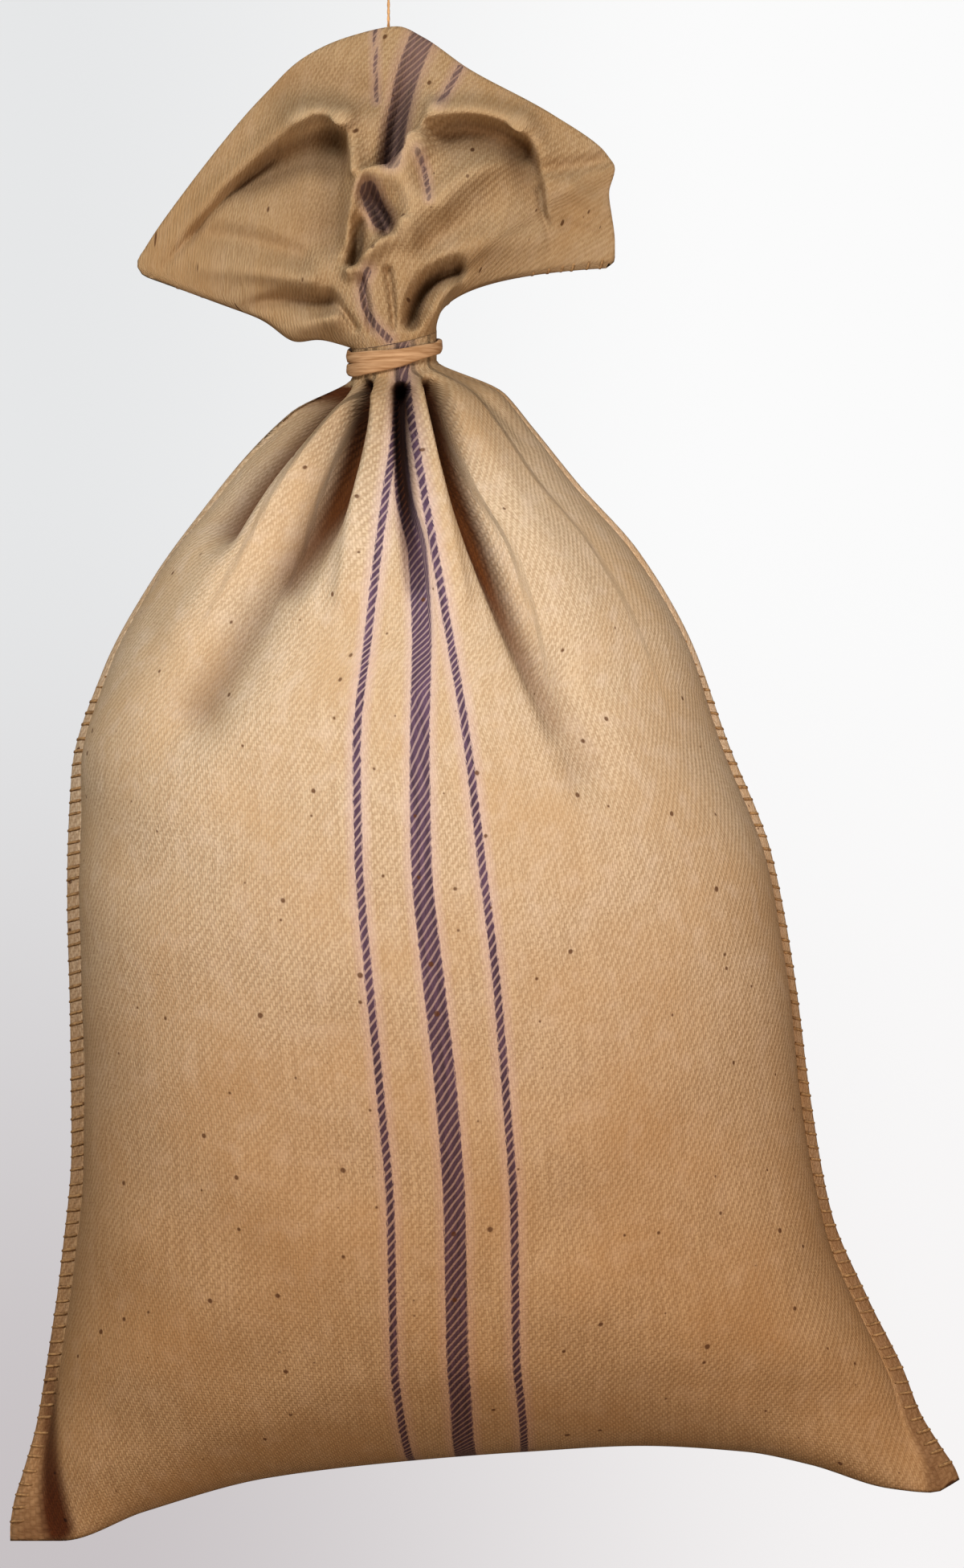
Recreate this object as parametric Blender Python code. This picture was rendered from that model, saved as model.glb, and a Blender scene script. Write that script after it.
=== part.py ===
"""A filled jute sack, tied at the neck and hung by a string.

The origin is the inside top of the string's loop, where the sack is held up. +X is to the right
as seen from the front, -Y is the front and +Z is up. The tables and sizes below are in
millimetres, and mesh_object() turns them into metres.
"""

import math
from collections import namedtuple

import bpy
import numpy as np

MM = 0.001

# Cloth: one length folded at the bottom, hemmed at the mouth, its sides overcast together.
CLOTH_THICK = 2.7
SEAM_HALF_THICK = 1.6
LEAST_HALF_BODY = 4.0

# Neck: an upright oval tube that leans with the tie, so its front and its left lie lower.
NECK_X = 4.0
NECK_Z = -262.0
NECK_HALF_WIDTH = 29.0
NECK_HALF_DEPTH = 25.0
NECK_LEAN_X = 0.20
NECK_LEAN_Y = 0.20
NECK_HALF_HEIGHT = 10.0
# The share of half a turn that a panel covers, and the level where the body's sections start to
# turn into the oval.
NECK_COVER = 0.985
NECK_BLEND_FROM = 0.97

# Tie: two turns of a flat strand that lie apart on the left and cross on the right.
TIE_GAP = 0.4
TIE_HEIGHT = 8.5
TIE_THICK = 3.6
TIE_CROSSING = 0.08
TIE_OFFSET = 2.2
TIE_STEPS = 48

# Ruff: the gathered mouth above the tie.
RUFF_DOME = 26.0
RUFF_BACK_DOME = 14.0
HEM_FRONT = 4.0
HEM_BACK = 16.0
LEAST_BETWEEN_PANELS = 14.0
DEEPEST_FOLD = 24.0
CROWN_POWER = 0.6
CORNER_ROLL = 5.0
CORNER_ROLL_PLACES = 0.12
CORNER_ROLL_FROM = 0.6
SAG = 8.0
SAG_RISE = 0.33
SAG_WIDTH = 0.11
SAG_FROM = 0.75
MOUTH_FLOOR = 0.42
MOUTH_EDGE = 0.95
MOUTH_ROOT = 0.94
LEAST_HALF_MOUTH = 0.6
# Folds and gathers fade over this share of the cloth beside the neck.
FOLDS_GROW = 0.12
GATHERS_FADE = 0.02

# String: a taut twine that ends in a knotted loop.
STRING_RADIUS = 1.0
STRING_FOOT_Z = -52.0
STRING_HEAD_Z = -18.3
LOOP_RADIUS = 7.0
KNOT_RADIUS = 2.5
KNOT_GAP = 0.3

# Mesh density. Part of the body's rows is spread evenly and the rest closer at both ends; the
# ruff's rows lie closer near the neck.
BELLY_COLUMNS = 39
BODY_ROWS = 27
RUFF_ROWS = 23
EVEN_ROWS_SHARE = 0.4
RUFF_ROWS_POWER = 1.15
SECTION_SAMPLES = 721
SEAM_ROOT = 0.965
SEAM_EDGE_FROM = 0.99
BELLY_EDGE = 0.93

# One row for each level between the bottom fold (height 0) and the tie (height 1): the outline's
# two sides, the panel's middle, the half thickness, how square or pointed the section is (0.5 is
# an ellipse, 1 a lens) and the width of the flat seam at each side.
Section = namedtuple("Section", "height left right middle depth point fin_left fin_right")
SECTIONS = (
    Section(0.000, -259, 391, 53, 0, 1.00, 30, 20),
    Section(0.010, -259, 388, 52, 35, 1.00, 28, 18),
    Section(0.030, -257, 378, 51, 66, 0.95, 22, 15),
    Section(0.060, -250, 364, 50, 94, 0.82, 14, 11),
    Section(0.100, -241, 352, 48, 118, 0.70, 10, 8),
    Section(0.160, -233, 329, 47, 138, 0.60, 9, 7),
    Section(0.240, -224, 303, 46, 152, 0.53, 9, 6),
    Section(0.340, -217, 289, 41, 160, 0.49, 9, 6),
    Section(0.450, -218, 278, 32, 163, 0.47, 9, 5),
    Section(0.560, -220, 262, 24, 158, 0.47, 9, 4),
    Section(0.660, -217, 232, 23, 145, 0.48, 7, 4),
    Section(0.750, -195, 207, 24, 126, 0.50, 4, 3),
    Section(0.830, -160, 171, 20, 102, 0.50, 3, 3),
    Section(0.890, -125, 130, 10, 80, 0.50, 3, 3),
    Section(0.940, -92, 99, 7, 58, 0.50, 2, 2),
    Section(0.975, -62, 76, 6, 42, 0.50, 2, 2),
    Section(0.990, -44, 58, 5, 33, 0.50, 2, 2),
    Section(1.000, -26, 36, 4, 25, 0.50, 2, 2),
)

# The bottom fold hangs in an arch between the two ears.
Fold = namedtuple("Fold", "x z")
BOTTOM_FOLD = (
    Fold(-259, -1074),
    Fold(-224, -1074),
    Fold(-167, -1054),
    Fold(-83, -1031),
    Fold(17, -1019),
    Fold(95, -1013),
    Fold(174, -1009),
    Fold(244, -1013),
    Fold(289, -1022),
    Fold(342, -1038),
    Fold(373, -1041),
    Fold(391, -1032),
)

# The mouth's hem from the left seam (place -1) to the right seam (place 1).
Hem = namedtuple("Hem", "place x z")
HEM = (
    Hem(-1.00, -162, -210),
    Hem(-0.965, -172, -203),
    Hem(-0.93, -167, -191),
    Hem(-0.79, -142, -154),
    Hem(-0.50, -94, -94),
    Hem(-0.32, -61, -61),
    Hem(-0.18, -27, -45),
    Hem(-0.06, 6, -38),
    Hem(0.02, 23, -45),
    Hem(0.18, 55, -67),
    Hem(0.47, 112, -98),
    Hem(0.68, 152, -128),
    Hem(0.72, 155, -135),
    Hem(0.80, 151, -152),
    Hem(0.93, 155, -186),
    Hem(0.97, 155, -197),
    Hem(1.00, 149, -203),
)

# Where the cloth turns on its way from the neck to the hem.
Turn = namedtuple("Turn", "place x z")
TURNS = (
    Turn(-1.0, -84, -240),
    Turn(-0.5, -46, -201),
    Turn(0.0, -26, -185),
    Turn(0.5, 42, -185),
    Turn(1.0, 28, -210),
)

# A stroke raises or sinks the cloth along a curved line: start, bend and end in X and Z, the
# half width and the rise at both ends. A rise below zero is a valley. The half width to the right
# of the way the line runs is multiplied by the skew.
Stroke = namedtuple("Stroke", "x0 z0 x1 z1 x2 z2 wide0 wide1 rise0 rise1 skew", defaults=(1.0,))
FRONT_GATHERS = (
    Stroke(-33, -284, -80, -330, -112, -385, 8, 14, -30, -12, 1.4),
    Stroke(-16, -288, -34, -358, -112, -480, 7, 16, -56, -16, 2.2),
    Stroke(-5, -284, -12, -345, -24, -430, 7, 10, 16, 5),
    Stroke(7, -288, 10, -352, 22, -440, 7, 10, -40, -10),
    Stroke(14, -284, 27, -345, 46, -430, 7, 10, 18, 6),
    Stroke(26, -288, 50, -362, 116, -515, 15, 26, -50, -14, 0.6),
    Stroke(36, -268, 63, -284, 96, -322, 6, 8, -8, -3),
)
BACK_GATHERS = (
    Stroke(-34, -296, -80, -360, -120, -450, 6, 18, -12, -4),
    Stroke(-8, -300, -20, -380, -40, -500, 6, 20, -26, -4),
    Stroke(22, -296, 42, -380, 60, -470, 5, 16, -22, -4),
    Stroke(46, -290, 90, -350, 120, -430, 5, 16, -12, -4),
)
RUFF_FRONT = (
    Stroke(-140, -170, -96, -118, -58, -99, 11, 12, 3, 7),
    Stroke(-60, -96, -20, -88, -20, -142, 12, 11, 9, 10),
    Stroke(-100, -146, -66, -126, -48, -142, 14, 17, -7, -17),
    Stroke(-48, -138, -46, -164, -44, -200, 16, 12, -16, -7),
    Stroke(-120, -182, -92, -186, -58, -196, 12, 11, -6, -5),
    Stroke(-100, -228, -74, -220, -48, -226, 10, 10, -5, -9),
    Stroke(-84, -248, -66, -250, -42, -242, 10, 10, 8, 6),
    Stroke(-66, -82, -42, -74, -12, -88, 18, 15, -9, -8),
    Stroke(12, -74, 5, -100, 0, -134, 13, 12, -6, -22),
    Stroke(0, -148, 14, -150, 22, -126, 12, 12, 9, 9),
    Stroke(8, -160, 18, -170, 14, -190, 12, 12, 10, 7),
    Stroke(38, -94, 70, -90, 106, -116, 12, 12, 11, 11),
    Stroke(48, -114, 74, -112, 100, -146, 12, 13, -17, -15),
    Stroke(36, -158, 54, -140, 74, -132, 13, 12, 9, 6),
    Stroke(88, -150, 60, -168, 26, -190, 14, 11, -8, -12),
    Stroke(18, -236, 22, -214, 42, -208, 10, 10, -10, -10),
)
RUFF_BACK = (
    Stroke(-110, -150, -70, -180, -30, -236, 14, 8, -10, -12),
    Stroke(-30, -90, -10, -150, 0, -236, 12, 7, -8, -14),
    Stroke(100, -130, 60, -170, 22, -228, 14, 8, -10, -12),
)


def monotone(at, known_at, known):
    """Smooth curve through the known points that never overshoots between two of them."""
    known_at = np.asarray(known_at, float)
    known = np.asarray(known, float)
    step = np.diff(known_at)
    slope = np.diff(known) / step
    left, right = slope[:-1], slope[1:]
    same = left * right > 0
    mean = np.where(same, 2 * left * right / np.where(same, left + right, 1), 0)
    tangent = np.concatenate([slope[:1], mean, slope[-1:]])
    cell = np.clip(np.searchsorted(known_at, at, side="right") - 1, 0, len(step) - 1)
    t = np.clip((at - known_at[cell]) / step[cell], 0, 1)
    rise_a = tangent[cell] * step[cell]
    rise_b = tangent[cell + 1] * step[cell]
    return (
        known[cell] * (2 * t**3 - 3 * t**2 + 1)
        + known[cell + 1] * (3 * t**2 - 2 * t**3)
        + rise_a * (t**3 - 2 * t**2 + t)
        + rise_b * (t**3 - t**2)
    )


def column_of(table, key, field, at):
    """One named column of a table, read smoothly at the given values of its key column."""
    return monotone(at, [getattr(row, key) for row in table], [getattr(row, field) for row in table])


def relief(x, z, strokes, samples=14):
    """How far the strokes raise the cloth at each point of the front view."""
    total = np.zeros_like(x)
    for stroke in strokes:
        t = np.linspace(0, 1, samples)
        curve_x = (1 - t) ** 2 * stroke.x0 + 2 * t * (1 - t) * stroke.x1 + t**2 * stroke.x2
        curve_z = (1 - t) ** 2 * stroke.z0 + 2 * t * (1 - t) * stroke.z1 + t**2 * stroke.z2
        nearest = np.full(x.shape, np.inf)
        along = np.zeros_like(x)
        right = np.zeros(x.shape, bool)
        for i in range(samples - 1):
            run_x, run_z = curve_x[i + 1] - curve_x[i], curve_z[i + 1] - curve_z[i]
            share = ((x - curve_x[i]) * run_x + (z - curve_z[i]) * run_z) / (run_x**2 + run_z**2)
            share = np.clip(share, 0, 1)
            away = np.hypot(x - curve_x[i] - share * run_x, z - curve_z[i] - share * run_z)
            closer = away < nearest
            nearest = np.where(closer, away, nearest)
            along = np.where(closer, (i + share) / (samples - 1), along)
            beside = (x - curve_x[i]) * run_z - (z - curve_z[i]) * run_x
            right = np.where(closer, beside > 0, right)
        wide = stroke.wide0 + (stroke.wide1 - stroke.wide0) * along
        wide = np.where(right, wide * stroke.skew, wide)
        rise = stroke.rise0 + (stroke.rise1 - stroke.rise0) * along
        total += rise * np.exp(-((nearest / wide) ** 2))
    return total


def panel_places():
    """Places across a panel from -1 to 1: the seam's edge, its root, the belly and back again."""
    belly = np.linspace(-BELLY_EDGE, BELLY_EDGE, BELLY_COLUMNS)
    return np.concatenate([[-1.0, -SEAM_ROOT], belly, [SEAM_ROOT, 1.0]])


def neck_plan(places, side):
    """X and Y on the neck's oval; side is -1 for the front panel and 1 for the back panel."""
    turn = (places * NECK_COVER + 1) * math.pi / 2
    x = NECK_X - NECK_HALF_WIDTH * np.cos(turn)
    return x, side * NECK_HALF_DEPTH * np.sin(turn)


def neck_plane(x, y):
    """Height of the leaning plane through the middle of the tie."""
    return NECK_Z + NECK_LEAN_X * (x - NECK_X) + NECK_LEAN_Y * y


def section_plan(height, places, side):
    """X and Y of one panel's section, its points evenly spread along the cloth."""
    row = {name: float(column_of(SECTIONS, "height", name, height)) for name in Section._fields[1:]}
    root_left = row["left"] + row["fin_left"]
    root_right = row["right"] - row["fin_right"]
    turn = np.linspace(0, math.pi, SECTION_SAMPLES)
    x = (root_left + root_right) / 2 - (root_right - root_left) / 2 * np.cos(turn)
    puff = max(row["depth"] - SEAM_HALF_THICK, 0) * np.sin(turn) ** (2 * row["point"])
    length = np.concatenate([[0], np.cumsum(np.hypot(np.diff(x), np.diff(puff)))])
    middle = np.interp(row["middle"], x, length)
    inner = np.abs(places) < SEAM_EDGE_FROM
    share = places[inner] / SEAM_ROOT
    reach = np.where(share < 0, middle * (1 + share), middle + (length[-1] - middle) * share)
    edge = min(SEAM_HALF_THICK, row["depth"])
    out_x = np.where(places < 0, row["left"], row["right"]).astype(float)
    out_y = np.full(places.shape, edge)
    out_x[inner] = np.interp(reach, length, x)
    out_y[inner] = edge + np.interp(reach, length, puff)
    return out_x, side * out_y


def body_ring(height, places, side):
    """One panel's points at one level, before the gathers are pressed in."""
    x, y = section_plan(height, places, side)
    neck_x, neck_y = neck_plan(places, side)
    near_neck = np.clip((height - NECK_BLEND_FROM) / (1 - NECK_BLEND_FROM), 0, 1) ** 2
    x = x + (neck_x - x) * near_neck
    y = y + (neck_y - y) * near_neck
    fold_x, _ = section_plan(0.0, places, side)
    low = column_of(BOTTOM_FOLD, "x", "z", fold_x)
    high = neck_plane(neck_x, neck_y) - NECK_HALF_HEIGHT
    return np.stack([x, y, low + (high - low) * height], axis=-1)


def outward(ring):
    """Unit normals of a closed ring, in plan, pointing out of it."""
    ahead = np.roll(ring, -1, axis=0) - np.roll(ring, 1, axis=0)
    normal = np.stack([ahead[:, 1], -ahead[:, 0]], axis=-1)
    return normal / np.maximum(np.linalg.norm(normal, axis=1, keepdims=True), 1e-9)


def closed_ring(maker, places, *more):
    """Front panel from left to right, then the back panel from right to left."""
    return np.concatenate([maker(*more, places, -1), maker(*more, places, 1)[::-1]])


def loose_from_seams(places, power, gain):
    """1 where the cloth is free to fold, falling to 0 at the seams, which hold it flat."""
    return np.clip((1 - np.abs(places) ** power) * gain, 0, 1)


def body_with_gathers(height, places):
    """One closed ring of the body, its cloth pressed in along the gathers."""
    ring = closed_ring(body_ring, places, height)
    normal = outward(ring[:, :2])
    around = np.concatenate([places, places[::-1]])
    free = loose_from_seams(around, 6, 1.2) * min(1.0, (1 - height) / GATHERS_FADE)
    half = len(places)
    rise = np.concatenate(
        [
            relief(ring[:half, 0], ring[:half, 2], FRONT_GATHERS),
            relief(ring[half:, 0], ring[half:, 2], BACK_GATHERS),
        ]
    )
    side = np.repeat([-1.0, 1.0], half)
    least = np.minimum(side * ring[:, 1], LEAST_HALF_BODY)
    ring[:, :2] += normal * (rise * free)[:, None]
    ring[:, 1] = side * np.maximum(side * ring[:, 1], least)
    return ring


def neck_ring(places, lift):
    """The neck's oval at a distance above the middle of the tie."""
    x, y = (np.concatenate([a, b[::-1]]) for a, b in zip(neck_plan(places, -1), neck_plan(places, 1)))
    return np.stack([x, y, neck_plane(x, y) + lift], axis=-1)


def ruff_front_view(rise, places, side):
    """X and Z of the ruff's columns, each a curve from the neck over its turn to the hem."""
    neck_x, neck_y = neck_plan(places, side)
    neck_z = neck_plane(neck_x, neck_y) + NECK_HALF_HEIGHT
    turn_x = column_of(TURNS, "place", "x", places)
    turn_z = column_of(TURNS, "place", "z", places)
    hem_x = column_of(HEM, "place", "x", places)
    hem_z = column_of(HEM, "place", "z", places)
    x = (1 - rise) ** 2 * neck_x + 2 * rise * (1 - rise) * turn_x + rise**2 * hem_x
    z = (1 - rise) ** 2 * neck_z + 2 * rise * (1 - rise) * turn_z + rise**2 * hem_z
    return x, z - left_sag(rise, places)


def left_sag(rise, places):
    """How far the ruff's lower left edge sags into a rounded lobe."""
    share = np.clip((-places - SAG_FROM) / (1 - SAG_FROM), 0, 1)
    near_lobe = math.exp(-(((rise - SAG_RISE) / SAG_WIDTH) ** 2))
    return SAG * near_lobe * share**2 * (3 - 2 * share)


def corner_roll(rise, places):
    """How far the rolled cloth at the hem's left corner stands forward."""
    share = np.clip((rise - CORNER_ROLL_FROM) / (1 - CORNER_ROLL_FROM), 0, 1)
    near_corner = np.exp(-(((places + 1) / CORNER_ROLL_PLACES) ** 2))
    return CORNER_ROLL * near_corner * share**2 * (3 - 2 * share)


def ruff_depths(rise, places):
    """Y of the ruff's front and back panels at one share of the way from the neck to the hem."""
    _, neck_y = neck_plan(places, 1)
    crown = np.clip(1 - places**2, 0, 1) ** CROWN_POWER
    belly = 4 * rise * (1 - rise)
    from_neck = neck_y * (1 - rise) ** 2
    grown = min(1.0, rise / FOLDS_GROW)
    front_x, front_z = ruff_front_view(rise, places, -1)
    back_x, back_z = ruff_front_view(rise, places, 1)
    loose = loose_from_seams(places, 4, 1.6) * grown * crown**0.25
    front = from_neck + crown * (RUFF_DOME * belly + HEM_FRONT * rise)
    front = front + relief(front_x, front_z, RUFF_FRONT) * loose
    back = from_neck + crown * (RUFF_BACK_DOME * belly + HEM_BACK * rise)
    back = back + relief(back_x, back_z, RUFF_BACK) * loose
    front = np.maximum(front, SEAM_HALF_THICK - DEEPEST_FOLD * crown)
    front = front + corner_roll(rise, places)
    apart = SEAM_HALF_THICK * 2 + (LEAST_BETWEEN_PANELS - SEAM_HALF_THICK * 2) * crown
    back = np.maximum(back, apart - front)
    return -front, back


def ruff_ring(rise, places):
    """One closed ring of the ruff's outer skin."""
    front_y, back_y = ruff_depths(rise, places)
    front_x, front_z = ruff_front_view(rise, places, -1)
    back_x, back_z = ruff_front_view(rise, places, 1)
    front = np.stack([front_x, front_y, front_z], axis=-1)
    back = np.stack([back_x, back_y, back_z], axis=-1)
    return np.concatenate([front, back[::-1]])


def mouth_ring(rise, places):
    """One closed ring of the inner skin, each point a cloth's thickness behind the outer one."""
    inner = np.where(np.abs(places) > SEAM_EDGE_FROM, np.sign(places) * MOUTH_EDGE, places)
    inner = np.where(np.abs(places) == SEAM_ROOT, np.sign(places) * MOUTH_ROOT, inner)
    front_y, back_y = ruff_depths(rise, inner)
    middle = (front_y + back_y) / 2
    front_y = np.minimum(front_y + CLOTH_THICK, middle - LEAST_HALF_MOUTH)
    back_y = np.maximum(back_y - CLOTH_THICK, middle + LEAST_HALF_MOUTH)
    front_x, front_z = ruff_front_view(rise, inner, -1)
    back_x, back_z = ruff_front_view(rise, inner, 1)
    front = np.stack([front_x, front_y, front_z], axis=-1)
    back = np.stack([back_x, back_y, back_z], axis=-1)
    return np.concatenate([front, back[::-1]])


def zipped(ring):
    """A ring flattened onto one line, its front and back points made the same."""
    half = len(ring) // 2
    line = (ring[:half] + ring[half:][::-1]) / 2
    return np.concatenate([line, line[::-1]])


def sack_rings():
    """All rings, from the bottom fold up the outside and down into the mouth."""
    places = panel_places()
    even = np.linspace(0, 1, BODY_ROWS + 1)
    closer = (1 - np.cos(math.pi * even)) / 2
    heights = EVEN_ROWS_SHARE * even + (1 - EVEN_ROWS_SHARE) * closer
    rings = [zipped(closed_ring(body_ring, places, 0.0))]
    rings += [body_with_gathers(height, places) for height in heights[1:]]
    rings.append(neck_ring(places, NECK_HALF_HEIGHT))
    rises = np.linspace(0, 1, RUFF_ROWS + 1)[1:] ** RUFF_ROWS_POWER
    rings += [ruff_ring(rise, places) for rise in rises]
    down = rises[rises > MOUTH_FLOOR][::-1]
    rings += [mouth_ring(rise, places) for rise in down[:-1]]
    rings.append(zipped(mouth_ring(down[-1], places)))
    return rings


def loft(rings, zip_first, zip_last):
    """Points and faces of closed rings joined in turn, with the first and last zipped shut."""
    count = len(rings[0])
    points = np.concatenate(rings)
    index = np.arange(len(points)).reshape(len(rings), count)
    half = count // 2
    for row, shut in ((0, zip_first), (-1, zip_last)):
        if shut:
            index[row, half:] = index[row, :half][::-1]
    used, index = np.unique(index, return_inverse=True)
    index = index.reshape(len(rings), count)
    faces = []
    for lower, upper in zip(index[:-1], index[1:]):
        for i in range(count):
            j = (i + 1) % count
            corners = list(dict.fromkeys([lower[i], lower[j], upper[j], upper[i]]))
            if len(corners) > 2:
                faces.append([int(corner) for corner in corners])
    return points[used], faces


def closed_loft(rings):
    """Points and faces of a row of closed profiles that comes back to its start."""
    count, steps = len(rings[0]), len(rings)
    faces = []
    for i in range(steps):
        ahead = (i + 1) % steps
        for j in range(count):
            k = (j + 1) % count
            faces.append([i * count + j, ahead * count + j, ahead * count + k, i * count + k])
    return np.concatenate(rings), faces


def material(name, colour, roughness):
    """A plain finish with a base colour in linear values."""
    made = bpy.data.materials.new(name)
    made.use_nodes = True
    shader = made.node_tree.nodes["Principled BSDF"]
    shader.inputs["Base Color"].default_value = (*colour, 1.0)
    shader.inputs["Roughness"].default_value = roughness
    shader.inputs["Metallic"].default_value = 0.0
    return made


def mesh_object(name, points, faces, finish, collection):
    """A mesh object from points in millimetres."""
    mesh = bpy.data.meshes.new(name)
    mesh.from_pydata((np.asarray(points) * MM).tolist(), [], faces)
    mesh.shade_smooth()
    mesh.materials.append(finish)
    made = bpy.data.objects.new(name, mesh)
    collection.objects.link(made)
    return made


def make_sack(collection):
    """The filled body, the neck and the open ruff, as the one cloth that they are."""
    jute = material("jute twill", (0.50, 0.30, 0.16), 0.9)
    points, faces = loft(sack_rings(), zip_first=True, zip_last=True)
    return mesh_object("sack", points, faces, jute, collection)


def tie_turn(crossing, offset):
    """One turn of the tie: a flat rounded strand swept round the neck."""
    half = TIE_HEIGHT / 2
    profile = (
        (TIE_GAP, -half * 0.80),
        (TIE_GAP, half * 0.80),
        (TIE_GAP + TIE_THICK * 0.35, half),
        (TIE_GAP + TIE_THICK * 0.85, half * 0.62),
        (TIE_GAP + TIE_THICK, 0.0),
        (TIE_GAP + TIE_THICK * 0.85, -half * 0.62),
        (TIE_GAP + TIE_THICK * 0.35, -half),
    )
    rings = []
    for step in range(TIE_STEPS):
        turn = 2 * math.pi * step / TIE_STEPS
        x = NECK_X + NECK_HALF_WIDTH * math.cos(turn)
        y = NECK_HALF_DEPTH * math.sin(turn)
        out = np.array([math.cos(turn) / NECK_HALF_WIDTH, math.sin(turn) / NECK_HALF_DEPTH])
        out /= np.linalg.norm(out)
        level = neck_plane(x, y) + crossing * (x - NECK_X) + offset
        rings.append(np.array([(x + out[0] * r, y + out[1] * r, level + z) for r, z in profile]))
    return closed_loft(rings)


def make_tie(collection, cutters):
    """Two crossing turns joined into one closed band."""
    strand = material("jute strand", (0.62, 0.36, 0.17), 0.85)
    upper = mesh_object("neck_tie", *tie_turn(-TIE_CROSSING, TIE_OFFSET), strand, collection)
    lower = mesh_object("neck_tie_lower_turn", *tie_turn(TIE_CROSSING, -TIE_OFFSET), strand, cutters)
    join_to(upper, lower)
    return upper


def join_to(target, other):
    """Adds a helper's shape to an object with a Boolean union."""
    other.hide_render = True
    other.display_type = "WIRE"
    union = target.modifiers.new("join " + other.name, "BOOLEAN")
    union.operation = "UNION"
    union.object = other


def make_string(collection):
    """The taut length of twine from inside the hem up to the knot."""
    twine = material("tan twine", (0.60, 0.38, 0.18), 0.8)
    curve = bpy.data.curves.new("hang_string", "CURVE")
    curve.dimensions = "3D"
    curve.bevel_depth = STRING_RADIUS * MM
    curve.bevel_resolution = 2
    curve.use_fill_caps = True
    spline = curve.splines.new("POLY")
    levels = np.linspace(STRING_FOOT_Z, STRING_HEAD_Z, 9)
    spline.points.add(len(levels) - 1)
    for point, level in zip(spline.points, levels):
        point.co = (0.0, 0.0, level * MM, 1.0)
    curve.materials.append(twine)
    made = bpy.data.objects.new("hang_string", curve)
    collection.objects.link(made)
    return made


def make_loop(collection, cutters):
    """The loop that the string is hung by, and the knot that closes it."""
    twine = material("tan twine loop", (0.60, 0.38, 0.18), 0.8)
    bpy.ops.mesh.primitive_torus_add(
        major_segments=32,
        minor_segments=8,
        major_radius=LOOP_RADIUS * MM,
        minor_radius=STRING_RADIUS * MM,
        location=(0, 0, -(LOOP_RADIUS - STRING_RADIUS) * MM),
        rotation=(math.pi / 2, 0, 0),
    )
    loop = move_to(bpy.context.object, "string_loop", twine, collection)
    knot_z = STRING_HEAD_Z + KNOT_GAP + KNOT_RADIUS
    bpy.ops.mesh.primitive_uv_sphere_add(
        segments=14, ring_count=8, radius=KNOT_RADIUS * MM, location=(0, 0, knot_z * MM)
    )
    knot = move_to(bpy.context.object, "string_knot_shape", twine, cutters)
    join_to(loop, knot)
    return loop


def move_to(made, name, finish, collection):
    """Names a new primitive, gives it its finish and puts it in its collection."""
    made.name = name
    made.data.name = name
    made.data.shade_smooth()
    made.data.materials.append(finish)
    for holder in list(made.users_collection):
        holder.objects.unlink(made)
    collection.objects.link(made)
    return made


def main():
    for old in list(bpy.data.objects):
        bpy.data.objects.remove(old, do_unlink=True)
    parts = bpy.data.collections.new("jute sack")
    cutters = bpy.data.collections.new("helpers")
    bpy.context.scene.collection.children.link(parts)
    bpy.context.scene.collection.children.link(cutters)
    make_sack(parts)
    make_tie(parts, cutters)
    make_string(parts)
    make_loop(parts, cutters)


main()
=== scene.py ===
"""The look of a filled jute twill sack, tied at the neck and hung by a string.

The tables and sizes are in millimetres in the frame of the CAD part: X to the right as seen from
the front, -Y to the front and Z up, from the inside top of the string's loop. mesh_piece() turns
them into metres. A "place" runs across a panel of the cloth from its left seam at -1 to its right
seam at 1.
"""

from __future__ import annotations

import logging
import math
from dataclasses import dataclass, field
from enum import Enum
from typing import Any, NamedTuple, Sequence

import bpy
import numpy as np
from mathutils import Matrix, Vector


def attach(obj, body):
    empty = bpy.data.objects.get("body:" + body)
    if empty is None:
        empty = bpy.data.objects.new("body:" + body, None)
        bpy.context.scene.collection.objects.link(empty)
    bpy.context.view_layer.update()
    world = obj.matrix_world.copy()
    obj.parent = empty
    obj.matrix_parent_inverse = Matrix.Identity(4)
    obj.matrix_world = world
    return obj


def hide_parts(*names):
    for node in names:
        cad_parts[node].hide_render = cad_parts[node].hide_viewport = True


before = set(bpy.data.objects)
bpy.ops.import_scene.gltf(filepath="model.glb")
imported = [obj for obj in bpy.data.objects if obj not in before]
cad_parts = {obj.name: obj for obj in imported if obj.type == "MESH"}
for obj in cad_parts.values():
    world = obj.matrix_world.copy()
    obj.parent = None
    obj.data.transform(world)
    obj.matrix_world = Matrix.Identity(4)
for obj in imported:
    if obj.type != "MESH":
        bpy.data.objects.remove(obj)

logging.basicConfig(level=logging.INFO, format="%(message)s")
LOG = logging.getLogger("sack")

MM = 0.001
TINY = 1e-9
# Farther from a stripe than its dye reaches, in millimetres.
FAR = 99.0
# The cloth's attributes for painted shade in the hollows and painted highlight on the crests.
FOLD_SHARES = ("hollow", "crest")
Array = np.ndarray
Triple = tuple[float, float, float]
Piece = bpy.types.Object
Socket = bpy.types.NodeSocket


class Side(Enum):
    """The two panels of the cloth, as the sign of their Y."""

    FRONT = -1
    BACK = 1


class Section(NamedTuple):
    """One level of the body: outline, panel's middle, half thickness, how square or pointed the
    section is (0.5 an ellipse, 1 a lens) and the width of the flat seam at each side."""

    height: float
    left: float
    right: float
    middle: float
    depth: float
    point: float
    fin_left: float
    fin_right: float


class Fold(NamedTuple):
    """A point of the bottom fold."""

    x: float
    z: float


class Hem(NamedTuple):
    """A point of the mouth's hem, or of the line where the cloth turns below it."""

    place: float
    x: float
    z: float


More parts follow.
